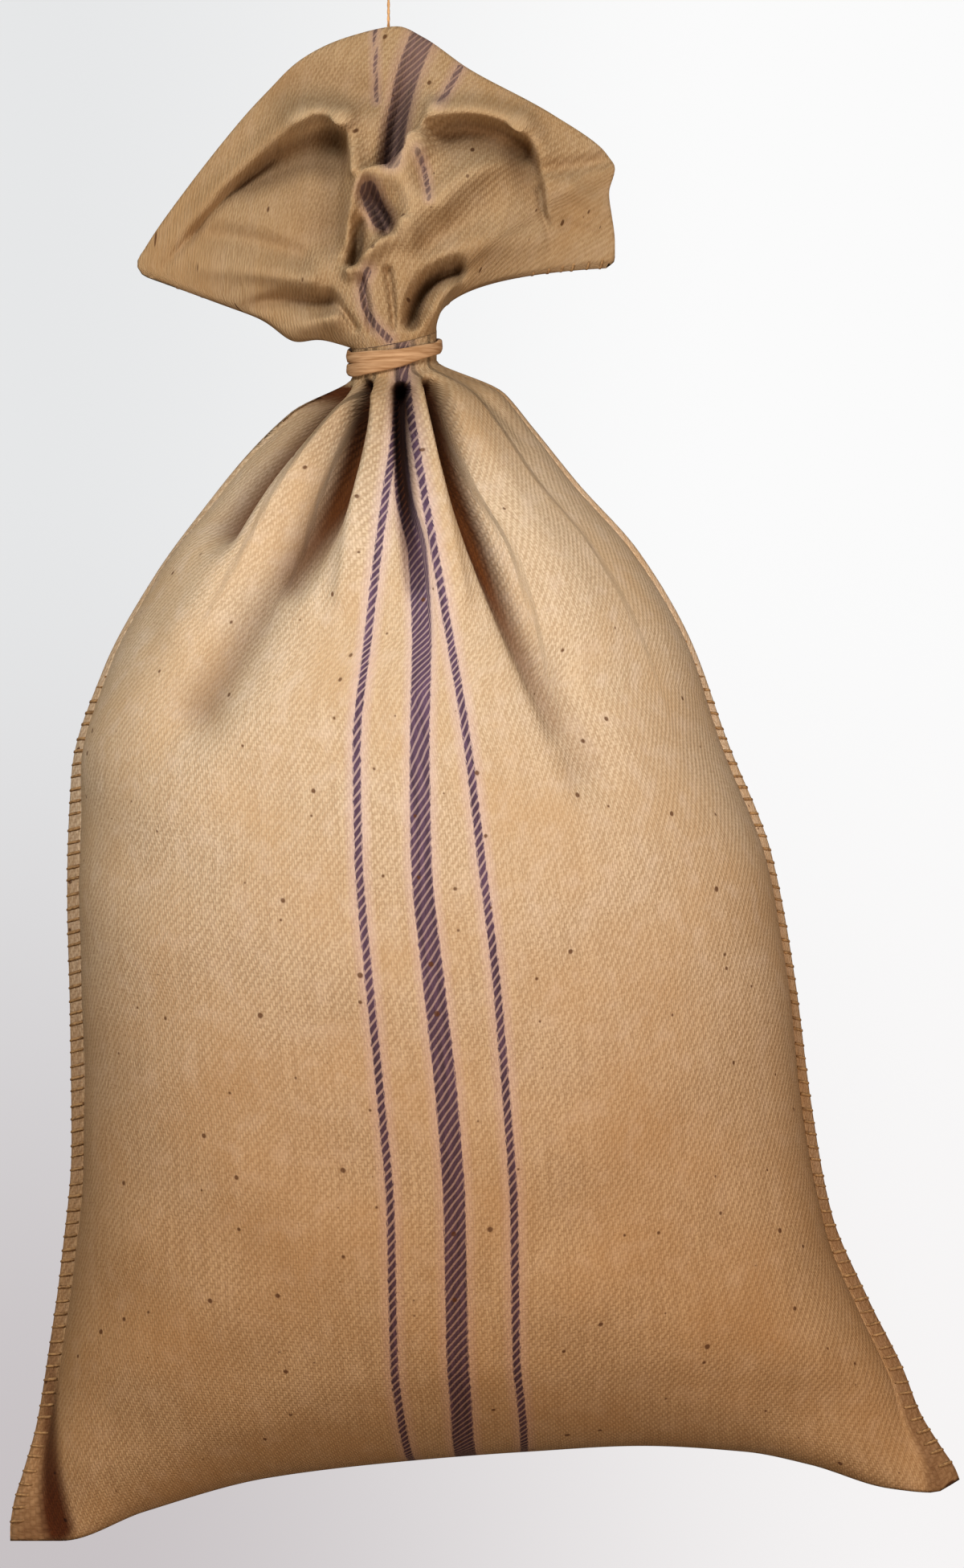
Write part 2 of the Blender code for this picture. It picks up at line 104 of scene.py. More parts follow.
class Stroke(NamedTuple):
    """A curved line in the front view, from its start over its bend to its end, along which the
    cloth is raised, or sunk where the rise is below zero. Its width to the right of the way it
    runs is multiplied by the skew, so that one flank is steeper than the other, and the cloth
    leans over to that side by the lean. A power above 2 gives a flat middle and steep walls."""

    x0: float
    z0: float
    x1: float
    z1: float
    x2: float
    z2: float
    wide0: float
    wide1: float
    rise0: float
    rise1: float
    skew: float = 1.0
    lean: float = 0.0
    power: float = 2.0

    def wide(self, along: Array) -> Array:
        """How wide it is.

        Args:
            along: Shares of the way along it.

        Returns:
            Its half width there.
        """
        return self.wide0 + (self.wide1 - self.wide0) * along


class StripePath(NamedTuple):
    """X of the three stripes on the front at one level of the body, and half the wide one's width."""

    height: float
    left: float
    wide: float
    right: float
    wide_half: float


class Pleat(NamedTuple):
    """Where a pleat swallows cloth: its place where it starts low down, and at the neck."""

    low: float
    neck: float


def table(kind: type, *rows: Sequence[float]) -> tuple[Any, ...]:
    """Makes a table of named rows.

    Args:
        kind: The rows' type.
        *rows: Each row's numbers.

    Returns:
        The rows.
    """
    return tuple(kind(*row) for row in rows)


SECTIONS = table(
    Section,
    (0.000, -259, 391, 53, 0, 1.00, 30, 20),
    (0.010, -259, 388, 52, 35, 1.00, 28, 18),
    (0.030, -257, 378, 51, 66, 0.95, 22, 15),
    (0.060, -250, 364, 50, 94, 0.82, 14, 11),
    (0.100, -241, 352, 48, 118, 0.70, 10, 8),
    (0.160, -233, 329, 47, 138, 0.60, 9, 7),
    (0.240, -224, 303, 46, 152, 0.53, 9, 6),
    (0.340, -217, 289, 41, 160, 0.49, 9, 6),
    (0.450, -218, 278, 32, 163, 0.47, 9, 5),
    (0.560, -220, 262, 24, 158, 0.47, 9, 4),
    (0.660, -217, 232, 23, 145, 0.48, 7, 4),
    (0.750, -195, 207, 24, 126, 0.50, 4, 3),
    (0.830, -160, 171, 20, 102, 0.50, 3, 3),
    (0.890, -125, 130, 10, 80, 0.50, 3, 3),
    (0.940, -92, 99, 7, 58, 0.50, 2, 2),
    (0.975, -62, 76, 6, 42, 0.50, 2, 2),
    (0.990, -44, 58, 5, 33, 0.50, 2, 2),
    (1.000, -26, 36, 4, 25, 0.50, 2, 2),
)
BOTTOM_FOLD = table(
    Fold,
    (-259, -1074), (-224, -1074), (-167, -1054), (-83, -1031), (17, -1019), (95, -1013),
    (174, -1009), (244, -1013), (289, -1022), (342, -1038), (373, -1041), (391, -1032),
)
HEM = table(
    Hem,
    (-1.00, -160, -211), (-0.98, -168, -208), (-0.96, -172, -201), (-0.92, -166, -189),
    (-0.79, -142, -154), (-0.50, -94, -94), (-0.32, -61, -61), (-0.18, -27, -45), (-0.06, 6, -38),
    (0.02, 23, -45), (0.18, 55, -67), (0.47, 112, -98), (0.68, 152, -128), (0.72, 155, -135),
    (0.80, 151, -152), (0.93, 155, -186), (0.97, 155, -197), (1.00, 149, -203),
)
TURNS = table(
    Hem,
    (-1.0, -84, -240), (-0.5, -46, -201), (0.0, -26, -185), (0.5, 42, -185), (1.0, 28, -210),
)
FRONT_GATHERS = table(
    Stroke,
    (-33, -284, -76, -328, -112, -385, 5, 9, -32, -24, 1.8),
    (-22, -284, -60, -335, -140, -450, 7, 14, 8, 5),
    (-13, -290, -14, -350, -60, -422, 5.5, 9, -50, -9, 1.8, 0.0, 3.0),
    (-24, -300, -50, -385, -126, -505, 9, 20, -15, -15, 1.3),
    (-6, -282, -13, -345, -24, -430, 6, 10, 12, 5, 1.0, 5.0),
    (8, -288, 10, -352, 20, -425, 4.5, 6, -46, -14, 1.0, 0.0, 4.0),
    (16, -282, 28, -345, 46, -430, 6, 9, 12, 5, 1.0, -5.0),
    (27, -290, 42, -365, 112, -520, 10.5, 9, -52, -5, 0.55, 0.0, 3.0),
    (34, -300, 62, -385, 132, -545, 12, 22, -7, -11, 0.6),
    (30, -280, 78, -340, 140, -450, 9, 18, 6, 3),
    (36, -268, 63, -284, 96, -322, 4, 6, -9, -3),
    (-12, -276, -16, -288, -22, -302, 3, 4, -12, -9),
)
# These lines only paint shade on the cloth, where it turns in beside the seams.
FRONT_SHADES = table(
    Stroke,
    (-226, -880, -237, -1000, -226, -1064, 3, 13, -12, -30, 1.0, 0.0, 3.0),
    (-247, -1000, -252, -1040, -250, -1068, 6, 14, -9, -18),
    (352, -960, 366, -1000, 374, -1036, 3, 8, -10, -20),
)
BACK_GATHERS = table(
    Stroke,
    (-34, -296, -80, -360, -120, -450, 6, 18, -12, -4),
    (-8, -300, -20, -380, -40, -500, 6, 20, -26, -4),
    (22, -296, 42, -380, 60, -470, 5, 16, -22, -4),
    (46, -290, 90, -350, 120, -430, 5, 16, -12, -4),
)
RUFF_FRONT = table(
    Stroke,
    (-150, -186, -104, -128, -60, -99, 5, 8, 4, 14, 1.0, 3.0),
    (-66, -97, -48, -90, -30, -101, 7, 7, 15, 24, 1.0, 4.0),
    (-30, -101, -20, -112, -20, -140, 6, 5, 22, 16, 1.0, 4.0),
    (-112, -150, -72, -118, -34, -112, 3, 5, -7, -20, 3.8),
    (-33, -114, -33, -146, -36, -186, 5, 5, -16, -10, 3.0),
    (-88, -134, -62, -146, -50, -176, 24, 20, -10, -12),
    (-98, -146, -70, -122, -42, -126, 9, 15, -7, -15),
    (44, -114, 66, -110, 92, -134, 13, 13, -13, -9),
    (-130, -180, -96, -182, -58, -196, 8, 7, -9, -8),
    (-128, -203, -90, -206, -52, -212, 8, 7, 9, 9, 1.0, 2.0),
    (-104, -233, -74, -219, -42, -226, 3.5, 4, -14, -22, 2.2),
    (-86, -247, -66, -250, -38, -242, 8, 7, 16, 13, 1.0, -2.0),
    (-72, -82, -44, -72, -14, -86, 16, 13, -12, -13),
    (16, -66, 6, -100, 1, -134, 8, 7, -6, -40),
    (-12, -146, 12, -139, 22, -122, 5, 5, 16, 20, 1.8, -6.0),
    (22, -122, 28, -112, 33, -96, 6, 6, 20, 15, 1.0, -4.0),
    (12, -148, 20, -164, 16, -186, 9, 9, 14, 12),
    (33, -97, 60, -87, 92, -103, 6, 7, 17, 16, 1.0, 5.0),
    (92, -103, 112, -118, 114, -165, 7, 6, 14, 5, 1.0, 4.0),
    (36, -108, 64, -100, 92, -118, 3.5, 4, -15, -20, 3.8),
    (92, -118, 106, -136, 103, -172, 4, 5, -14, -7, 3.0),
    (34, -160, 50, -140, 76, -130, 11, 9, 14, 10, 1.0, 2.0),
    (88, -150, 62, -166, 26, -190, 15, 9, -7, -13),
    (66, -190, 94, -188, 104, -182, 11, 10, 8, 5),
    (112, -136, 134, -133, 150, -128, 6, 5, -9, -8),
    (126, -150, 140, -160, 150, -164, 7, 5, 6, 5),
    (124, -176, 138, -180, 148, -184, 5, 4, -6, -6),
    (-13, -156, -5, -166, 1, -180, 6, 6, -24, -36),
    (-21, -150, -26, -166, -26, -190, 4, 4, 10, 8),
    (-20, -176, -21, -188, -22, -202, 5, 5, -16, -34),
    (-25, -210, -8, -197, 12, -177, 4.5, 5, 13, 15, 1.0, -3.0),
    (16, -242, 20, -212, 46, -205, 5, 6, -34, -34),
    (30, -246, 31, -226, 46, -217, 5, 5, 11, 9, 1.0, 2.0),
    (-154, -204, -112, -152, -76, -122, 2.6, 2.6, -9, -8),
    (104, -149, 108, -171, 112, -193, 3.0, 3.0, -8, -7),
    (-12, -248, -13, -232, -18, -214, 2.2, 2.6, -8, -9),
    (4, -246, 4, -228, 0, -208, 2.2, 3.0, -8, -10),
    (-22, -246, -30, -234, -40, -222, 2.4, 3.0, -7, -7),
)
RUFF_BACK = table(
    Stroke,
    (-110, -150, -70, -180, -30, -236, 14, 8, -10, -12),
    (-30, -90, -10, -150, 0, -236, 12, 7, -8, -14),
    (100, -130, 60, -170, 22, -228, 14, 8, -10, -12),
    (-60, -90, -40, -150, -16, -230, 8, 6, 5, 6),
    (50, -80, 34, -150, 12, -230, 8, 6, 5, 6),
)
STRIPE_PATHS = table(
    StripePath,
    (0.000, 16, 53, 93, 7.2),
    (0.030, 12, 51, 92, 7.2),
    (0.060, 9, 50, 90, 7.2),
    (0.100, 6, 48, 87, 7.2),
    (0.160, 5, 47, 86, 7.2),
    (0.240, 4, 46, 85, 7.2),
    (0.340, -2, 41, 80, 7.2),
    (0.450, -10, 32, 73, 7.0),
    (0.560, -17, 24, 63, 6.8),
    (0.660, -18.5, 23, 54, 6.5),
    (0.750, -12, 24, 43, 6.5),
    (0.830, -5.5, 21, 32.5, 6.5),
    (0.890, 0, 11, 24.5, 5.5),
    (0.940, 5, 9, 18, 3.4),
    (0.975, 7, 9, 14, 2.4),
    (1.000, 8, 9, 12, 2.2),
)
# On the ruff the stripes come and go between the folds. The rise columns aren't used here.
RUFF_WIDE_STRIPE = table(
    Stroke,
    (25, -42, 6, -80, 3, -134, 8.5, 6, 0, 0),
    (-13, -153, -10, -162, -5, -172, 6, 6.5, 0, 0),
)
RUFF_LEFT_STRIPE = table(
    Stroke,
    (-9, -38, -9, -60, -8, -90, 1.6, 1.6, 0, 0),
    (-13, -208, -26, -230, 1, -254, 2.2, 2.2, 0, 0),
)
RUFF_RIGHT_STRIPE = table(
    Stroke,
    (49, -66, 42, -80, 35, -94, 2.2, 2.0, 0, 0),
    (20, -126, 27, -142, 28, -160, 2.0, 1.6, 0, 0),
)
PLEATS = table(
    Pleat,
    (-0.66, -0.46), (-0.47, -0.30), (0.02, 0.04), (0.36, 0.30), (0.66, 0.62),
)


def monotone(at: Array, known_at: Sequence[float], known: Sequence[float]) -> Array:
    """Reads a smooth curve through known points that never overshoots between two of them.

    Each span is the cubic h00 a + h10 s m0 + h01 b + h11 s m1 of Hermite, with the harmonic mean
    of the two neighbouring slopes as the tangent m, or 0 where they differ in sign.

    Args:
        at: Where to read the curve.
        known_at: The positions of the known points, rising.
        known: The values there.

    Returns:
        The values at the asked positions.
    """
    places = np.asarray(known_at, float)
    values = np.asarray(known, float)
    step = np.diff(places)
    slope = np.diff(values) / step
    before, after = slope[:-1], slope[1:]
    same = before * after > 0
    mean = np.where(same, 2 * before * after / np.where(same, before + after, 1), 0)
    tangent = np.concatenate([slope[:1], mean, slope[-1:]])
    cell = np.clip(np.searchsorted(places, at, side="right") - 1, 0, len(step) - 1)
    t = np.clip((at - places[cell]) / step[cell], 0, 1)
    return (
        values[cell] * (2 * t**3 - 3 * t**2 + 1)
        + values[cell + 1] * (3 * t**2 - 2 * t**3)
        + tangent[cell] * step[cell] * (t**3 - 2 * t**2 + t)
        + tangent[cell + 1] * step[cell] * (t**3 - t**2)
    )


def column_of(table: Sequence[NamedTuple], key: str, name: str, at: Array) -> Array:
    """Reads one named column of a table smoothly.

    Args:
        table: The rows, rising in the key column.
        key: The column that the positions are given in.
        name: The column to read.
        at: The positions.

    Returns:
        The column's values at those positions.
    """
    return monotone(at, [getattr(row, key) for row in table], [getattr(row, name) for row in table])


def smooth_step(share: Array) -> Array:
    """Rises from 0 to 1 as 3 t^2 - 2 t^3, with t the share clipped to 0..1.

    Args:
        share: The unclipped share.

    Returns:
        The smooth share.
    """
    t = np.clip(share, 0, 1)
    return t * t * (3 - 2 * t)


class Nearest(NamedTuple):
    """Where points lie beside a stroke: the signed distance, above 0 to the right of the way it
    runs, how squarely they lie beside it, from -1 on the left over 0 past an end to 1, the share
    of the way along it, and the way it runs there."""

    away: Array
    beside: Array
    along: Array
    run_x: Array
    run_z: Array


def nearest_on(stroke: Stroke, x: Array, z: Array, samples: int = 14) -> Nearest:
    """Finds each point's nearest place on a stroke's quadratic curve.

    Args:
        stroke: The curve in the front view.
        x: The points' X.
        z: The points' Z.
        samples: How many points of the curve are joined by straight spans.

    Returns:
        Where the points lie beside it.
    """
    t = np.linspace(0, 1, samples)
    curve_x = (1 - t) ** 2 * stroke.x0 + 2 * t * (1 - t) * stroke.x1 + t**2 * stroke.x2
    curve_z = (1 - t) ** 2 * stroke.z0 + 2 * t * (1 - t) * stroke.z1 + t**2 * stroke.z2
    nearest = np.full(x.shape, np.inf)
    found = [np.zeros(x.shape) for _ in Nearest._fields]
    for i in range(samples - 1):
        span_x, span_z = curve_x[i + 1] - curve_x[i], curve_z[i + 1] - curve_z[i]
        off_x, off_z = x - curve_x[i], z - curve_z[i]
        share = np.clip((off_x * span_x + off_z * span_z) / (span_x**2 + span_z**2), 0, 1)
        away = np.hypot(off_x - share * span_x, off_z - share * span_z)
        closer = away < nearest
        length = math.hypot(span_x, span_z)
        beside = (off_x * span_z - off_z * span_x) / length / np.maximum(away, TINY)
        side = np.where(beside < 0, -1.0, 1.0)
        along = (i + share) / (samples - 1)
        values = (side * away, np.clip(beside, -1, 1), along, span_x / length, span_z / length)
        nearest = np.where(closer, away, nearest)
        found = [np.where(closer, new, old) for new, old in zip(values, found)]
    return Nearest(*found)


def relief(x: Array, z: Array, strokes: Sequence[Stroke]) -> Array:
    """Adds up how the strokes move the cloth, each by its size * exp(-(distance / width)^power).

    Args:
        x: The points' X in the front view.
        z: The points' Z.
        strokes: The raised and sunk lines.

    Returns:
        (..., 3): the rise of each point, and its shift in X and Z.
    """
    total = np.zeros((*x.shape, 3))
    for stroke in strokes:
        near = nearest_on(stroke, x, z)
        wide = stroke.wide(near.along) * (1 + (stroke.skew - 1) * (1 + near.beside) / 2)
        rise = stroke.rise0 + (stroke.rise1 - stroke.rise0) * near.along
        strength = np.exp(-(np.abs(near.away / wide) ** stroke.power))
        moves = (rise, stroke.lean * near.run_z, -stroke.lean * near.run_x)
        total += np.stack([move * strength for move in moves], axis=-1)
    return total


def lumps(x: Array, z: Array, seed: int, lengths: tuple[float, float], count: int = 26) -> Array:
    """Sums plane waves of mixed length and heading into gentle lumps of about unit height.

    Args:
        x: The points' X.
        z: The points' Z.
        seed: Picks the waves.
        lengths: The shortest and the longest wave.
        count: How many waves.

    Returns:
        The height of each point.
    """
    rng = np.random.default_rng(seed)
    total = np.zeros(x.shape)
    for _ in range(count):
        heading = rng.uniform(0, math.pi)
        number = 2 * math.pi / rng.uniform(*lengths)
        across = x * math.cos(heading) + z * math.sin(heading)
        total += np.sin(across * number + rng.uniform(0, 2 * math.pi))
    return total / math.sqrt(count / 2)


def linear(code: str) -> tuple[float, float, float, float]:
    """Turns an sRGB colour code into linear values.

    Args:
        code: Six hexadecimal digits.

    Returns:
        Red, green, blue and an alpha of 1.
    """
    shares = [int(code[i : i + 2], 16) / 255 for i in (0, 2, 4)]
    red, green, blue = (s / 12.92 if s <= 0.04045 else ((s + 0.055) / 1.055) ** 2.4 for s in shares)
    return red, green, blue, 1.0


@dataclass
class Graph:
    """A material's node tree, built up node by node."""

    tree: bpy.types.NodeTree

    def add(self, kind: str, *values: Any, out: int | str = 0, named: dict[str, Any] | None = None,
            **settings: Any) -> Socket:
        """Adds a node, sets it up and fills its inputs.

        Args:
            kind: The node's type without its ShaderNode prefix.
            *values: What the inputs take in order: a socket to link, a value, or None.
            out: Which output to hand back.
            named: What inputs take by name.
            **settings: The node's own properties.

        Returns:
            The chosen output socket.
        """
        made = self.tree.nodes.new("ShaderNode" + kind)
        for name, value in settings.items():
            setattr(made, name, value)
        for key, value in [*enumerate(values), *(named or {}).items()]:
            if isinstance(value, Socket):
                self.tree.links.new(value, made.inputs[key])
            elif value is not None:
                made.inputs[key].default_value = value
        return made.outputs[out]

    def math(self, operation: str, *values: Any, **settings: Any) -> Socket:
        """Adds a Math node.

        Args:
            operation: What it works out.
            *values: What its inputs take.
            **settings: The node's other properties.

        Returns:
            Its result.
        """
        return self.add("Math", *values, operation=operation, **settings)

    def ramp(self, value: Socket, low: float, high: float, start: float = 0.0,
             end: float = 1.0, kind: str = "LINEAR") -> Socket:
        """Maps a value's range onto another one and stops at its ends.

        Args:
            value: The value.
            low: Where the range starts.
            high: Where it ends.
            start: What the start becomes.
            end: What the end becomes.
            kind: How it runs between them.

        Returns:
            The mapped value.
        """
        return self.add("MapRange", value, low, high, start, end, interpolation_type=kind)

    def mix(self, share: Any, first: Any, second: Any, kind: str = "MIX") -> Socket:
        """Mixes two colours.

        Args:
            share: The share of the second one.
            first: The first colour.
            second: The second one.
            kind: How they mix.

        Returns:
            The mixed colour.
        """
        return self.add("MixRGB", share, first, second, blend_type=kind)

    def noise(self, place: Socket, scale: float | Triple,
              detail: float, out: int = 0) -> Socket:
        """Adds noise, stretched where each axis has its own scale.

        Args:
            place: The coordinates.
            scale: Its fineness, for each axis or for all of them.
            detail: How many finer layers it has.
            out: 0 for its value, 1 for its colour.

        Returns:
            The noise.
        """
        if isinstance(scale, tuple):
            place, scale = self.add("Mapping", place, named={"Scale": scale}), 1.0
        return self.add("TexNoise", named={"Vector": place, "Scale": scale, "Detail": detail}, out=out)


def new_material(name: str) -> tuple[bpy.types.Material, Graph, bpy.types.Node]:
    """Starts a material with an empty Principled shader.

    Args:
        name: The real material that it shows.

    Returns:
        The material, its graph and its shader node.
    """
    made = bpy.data.materials.new(name)
    made.use_nodes = True
    return made, Graph(made.node_tree), made.node_tree.nodes["Principled BSDF"]


def finish_surface(g: Graph, shader: bpy.types.Node, colour: Socket,
                   bump: Socket, roughness: float, specular: float) -> None:
    """Links a shader's colour and normal and sets its shine.

    Args:
        g: The material's graph.
        shader: Its Principled shader.
        colour: The colour.
        bump: The normal.
        roughness: How rough it is.
        specular: How much it mirrors.
    """
    g.tree.links.new(colour, shader.inputs["Base Color"])
    g.tree.links.new(bump, shader.inputs["Normal"])
    shader.inputs["Roughness"].default_value = roughness
    shader.inputs["Specular IOR Level"].default_value = specular


def mesh_piece(name: str, points: Array, faces: Sequence[Sequence[int]],
               finish: bpy.types.Material, replaces: Sequence[str] = ()) -> Piece:
    """Makes a smooth mesh piece at the origin that rides on the one body.

    Args:
        name: The piece's name.
        points: Its vertices in millimetres.
        faces: Its faces.
        finish: Its material.
        replaces: The CAD nodes that it stands for.

    Returns:
        The new object.
    """
    mesh = bpy.data.meshes.new(name)
    mesh.from_pydata((np.asarray(points) * MM).tolist(), [], faces)
    mesh.shade_smooth()
    mesh.materials.append(finish)
    made = bpy.data.objects.new(name, mesh)
    bpy.context.scene.collection.objects.link(made)
    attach(made, "root")
    if replaces:
        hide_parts(*replaces)
    return made


def unit(vectors: Array) -> Array:
    """Scales vectors to length 1.

    Args:
        vectors: (..., n) vectors.

    Returns:
        The unit vectors.
    """
    return vectors / np.maximum(np.linalg.norm(vectors, axis=-1, keepdims=True), TINY)


def square_to(along: Array, near: Array) -> Array:
    """Takes out of one direction what lies along another.

    Args:
        along: (..., 3) unit directions.
        near: (..., 3) directions.

    Returns:
        What is left of them, square to the first ones.
    """
    return near - along * np.sum(near * along, axis=-1, keepdims=True)


def quads(grid: Array, ahead: Array) -> Array:
    """Lists the corners of the quads between each row of a grid and the next.

    Args:
        grid: (rows, columns) values.
        ahead: The same with each column's neighbour in its place.

    Returns:
        (count, 4) values.
    """
    return np.stack([grid[:-1], ahead[:-1], ahead[1:], grid[1:]], axis=-1).reshape(-1, 4)


def tubes(paths: Array, near: Array, radii: Array, sides: int) -> tuple[Array, list[list[int]]]:
    """Sweeps round tubes along many paths at once: p + r (cos a n + sin a b), ends closed.

    Args:
        paths: (count, steps, 3) centre lines.
        near: (count, steps, 3) directions across them.
        radii: (count, steps) radii.
        sides: How many points go round.

    Returns:
        The points and the faces of all tubes.
    """
    count, steps = paths.shape[:2]
    along = unit(np.gradient(paths, axis=1))
    first = unit(square_to(along, near))
    second = np.cross(along, first)
    turn = np.linspace(0, 2 * math.pi, sides, endpoint=False)
    ring = first[:, :, None] * np.cos(turn)[:, None] + second[:, :, None] * np.sin(turn)[:, None]
    points = paths[:, :, None] + ring * radii[:, :, None, None]
    index = np.arange(count * steps * sides).reshape(count, steps, sides)
    by_step = index.swapaxes(0, 1)
    caps = np.concatenate([index[:, 0, ::-1], index[:, -1]])
    return points.reshape(-1, 3), [*quads(by_step, np.roll(by_step, -1, axis=-1)).tolist(), *caps.tolist()]


@dataclass(frozen=True)
class JuteTwill:
    """Raw jute in 2/1 twill with dyed warp stripes, matt and coarse."""

    light: str = "D4BC9C"
    dark: str = "B39878"
    warm: str = "C09C70"
    faded: str = "D9C3AC"
    # Painted highlight mixed in on the ruff's fold crests.
    crest: str = "D9BB92"
    bark: str = "5A3519"
    dye: str = "352139"
    dye_pale: str = "644866"
    halo: str = "D0B4AE"
    # Painted shade, multiplied in: at the mouth and the ruff above the tie, towards the foot, and in the
    # hollows of the folds.
    mouth_shade: str = "C4B69E"
    foot_shade: str = "C3A274"
    shaded: str = "6E4520"
    warp_pitch: float = 1.8
    weft_pitch: float = 2.25
    wide_half: float = 7.2
    thin_half: float = 2.6
    bump: float = 0.40
    wander: float = 0.004

    def material(self) -> bpy.types.Material:
        """Builds the cloth's material from its UV map and its stripe distances.

        Returns:
            The finished material.
        """
        # Jute twill: matt threads whose shadows between the floats give the diagonal lines.
        made, g, shader = new_material("raw jute twill")
        cloth = g.add("UVMap", uv_map="cloth")
        wander = g.add("VectorMath", g.noise(cloth, 30.0, 2.0, 1), (0.5, 0.5, 0.5), operation="SUBTRACT")
        wander = g.add("VectorMath", wander, (self.wander, self.wander, 0.0), operation="MULTIPLY")
        split = g.add("SeparateXYZ", g.add("VectorMath", cloth, wander, operation="ADD"))
        across = g.math("MULTIPLY", split, 1000 / self.warp_pitch)
        along = g.math("MULTIPLY", split.node.outputs[1], 1000 / self.weft_pitch)
        height, over = self.weave(g, across, along)
        # Fibres and slubs are stretched along the warp; patches, fading and grain are round.
        fibre = g.noise(cloth, (1400.0, 260.0, 1.0), 2.0)
        slub = g.noise(cloth, (330.0, 16.0, 1.0), 2.0)
        patch = g.noise(cloth, 11.0, 5.0)
        faded = g.noise(cloth, 60.0, 4.0)
        shade = g.math("ADD", height, g.ramp(fibre, 0.25, 0.75, -0.25, 0.25))
        shade = g.math("ADD", shade, g.ramp(slub, 0.25, 0.75, -0.30, 0.30))
        shade = g.math("ADD", shade, g.ramp(g.noise(cloth, 420.0, 1.0), 0.3, 0.7, -0.40, 0.40))
        colour = g.mix(g.ramp(shade, 0.0, 1.0), linear(self.dark), linear(self.light))
        colour = g.mix(g.ramp(patch, 0.42, 0.66, 0.0, 0.5), colour, linear(self.warm))
        colour = g.mix(g.ramp(faded, 0.5, 0.7, 0.0, 0.3), colour, linear(self.faded))
        colour = self.with_bark(g, cloth, self.with_stripes(g, colour, over, slub, fibre))
        # Painted shade and painted highlight from the cloth's level and its folds.
        colour = self.with_painted_light(g, colour)
        bump = g.add("Bump", named={
            "Strength": 1.0,
            "Distance": self.bump * MM,
            "Height": g.math("ADD", height, g.ramp(fibre, 0.2, 0.8, -0.15, 0.15)),
        })
        finish_surface(g, shader, colour, bump, 0.92, 0.18)
        return made

    def weave(self, g: Graph, across: Socket,
              along: Socket) -> tuple[Socket, Socket]:
        """Draws a 2/1 twill: each warp thread floats over two wefts, one weft on from its neighbour.

        Args:
            g: The material's graph.
            across: The place across, in threads.
            along: The place along, in threads.

        Returns:
            The threads' height, and 1 where the warp lies on top.
        """
        thread = g.math("FLOOR", across)
        in_thread = g.math("FRACT", across)
        phase = g.math("FRACT", g.math("DIVIDE", g.math("SUBTRACT", along, thread), 3.0))
        float_arch = g.math("POWER", g.math("SINE", g.ramp(phase, 0.0, 2 / 3, 0.0, math.pi)), 0.5)
        round_thread = g.math("POWER", g.math("SINE", g.math("MULTIPLY", in_thread, math.pi)), 0.6)
        float_up = g.math("MULTIPLY", float_arch, round_thread)
        weft_share = g.ramp(phase, 2 / 3, 1.0, 0.0, math.pi)
        weft_up = g.math("MULTIPLY", g.math("SINE", weft_share), 0.35)
        slope = g.math("MULTIPLY", g.math("SUBTRACT", along, across), 2 * math.pi / 3)
        line = g.ramp(g.math("SINE", g.math("ADD", slope, math.pi / 6)), -1.0, 1.0)
        threads = g.math("MULTIPLY", g.math("MAXIMUM", float_up, weft_up), 0.8)
        return g.math("ADD", threads, g.math("MULTIPLY", line, 0.2)), g.ramp(line, 0.12, 0.34)

    def with_painted_light(self, g: Graph, colour: Socket) -> Socket:
        """Paints shade on the mouth and the ruff above it, towards the foot and in the hollows, and paints
        highlight on the crests.

        Args:
            g: The material's graph.
            colour: The cloth's colour before its painted shade and highlight.

        Returns:
            The colour with its painted shade and highlight.
        """
        level = g.add("SeparateXYZ", g.add("TexCoord", out="Object")).node.outputs[2]
        # Levels in metres: the painted shade of the mouth and the ruff begins below the tie, the painted
        # shade of the foot at mid height.
        mouth = g.ramp(level, -0.37, -0.26, 0.0, 0.88, "SMOOTHSTEP")
        low = g.ramp(level, -0.45, -0.92, 0.0, 0.75, "SMOOTHSTEP")
        hollow, crest = (g.add("Attribute", attribute_name=name, out="Fac") for name in FOLD_SHARES)
        # Each share multiplies in its painted shade: the mouth and ruff, the foot, the hollows.
        for share, code in ((mouth, self.mouth_shade), (low, self.foot_shade), (hollow, self.shaded)):
            colour = g.mix(share, colour, linear(code), "MULTIPLY")
        # Painted highlight on the crests.
        return g.mix(crest, colour, linear(self.crest))

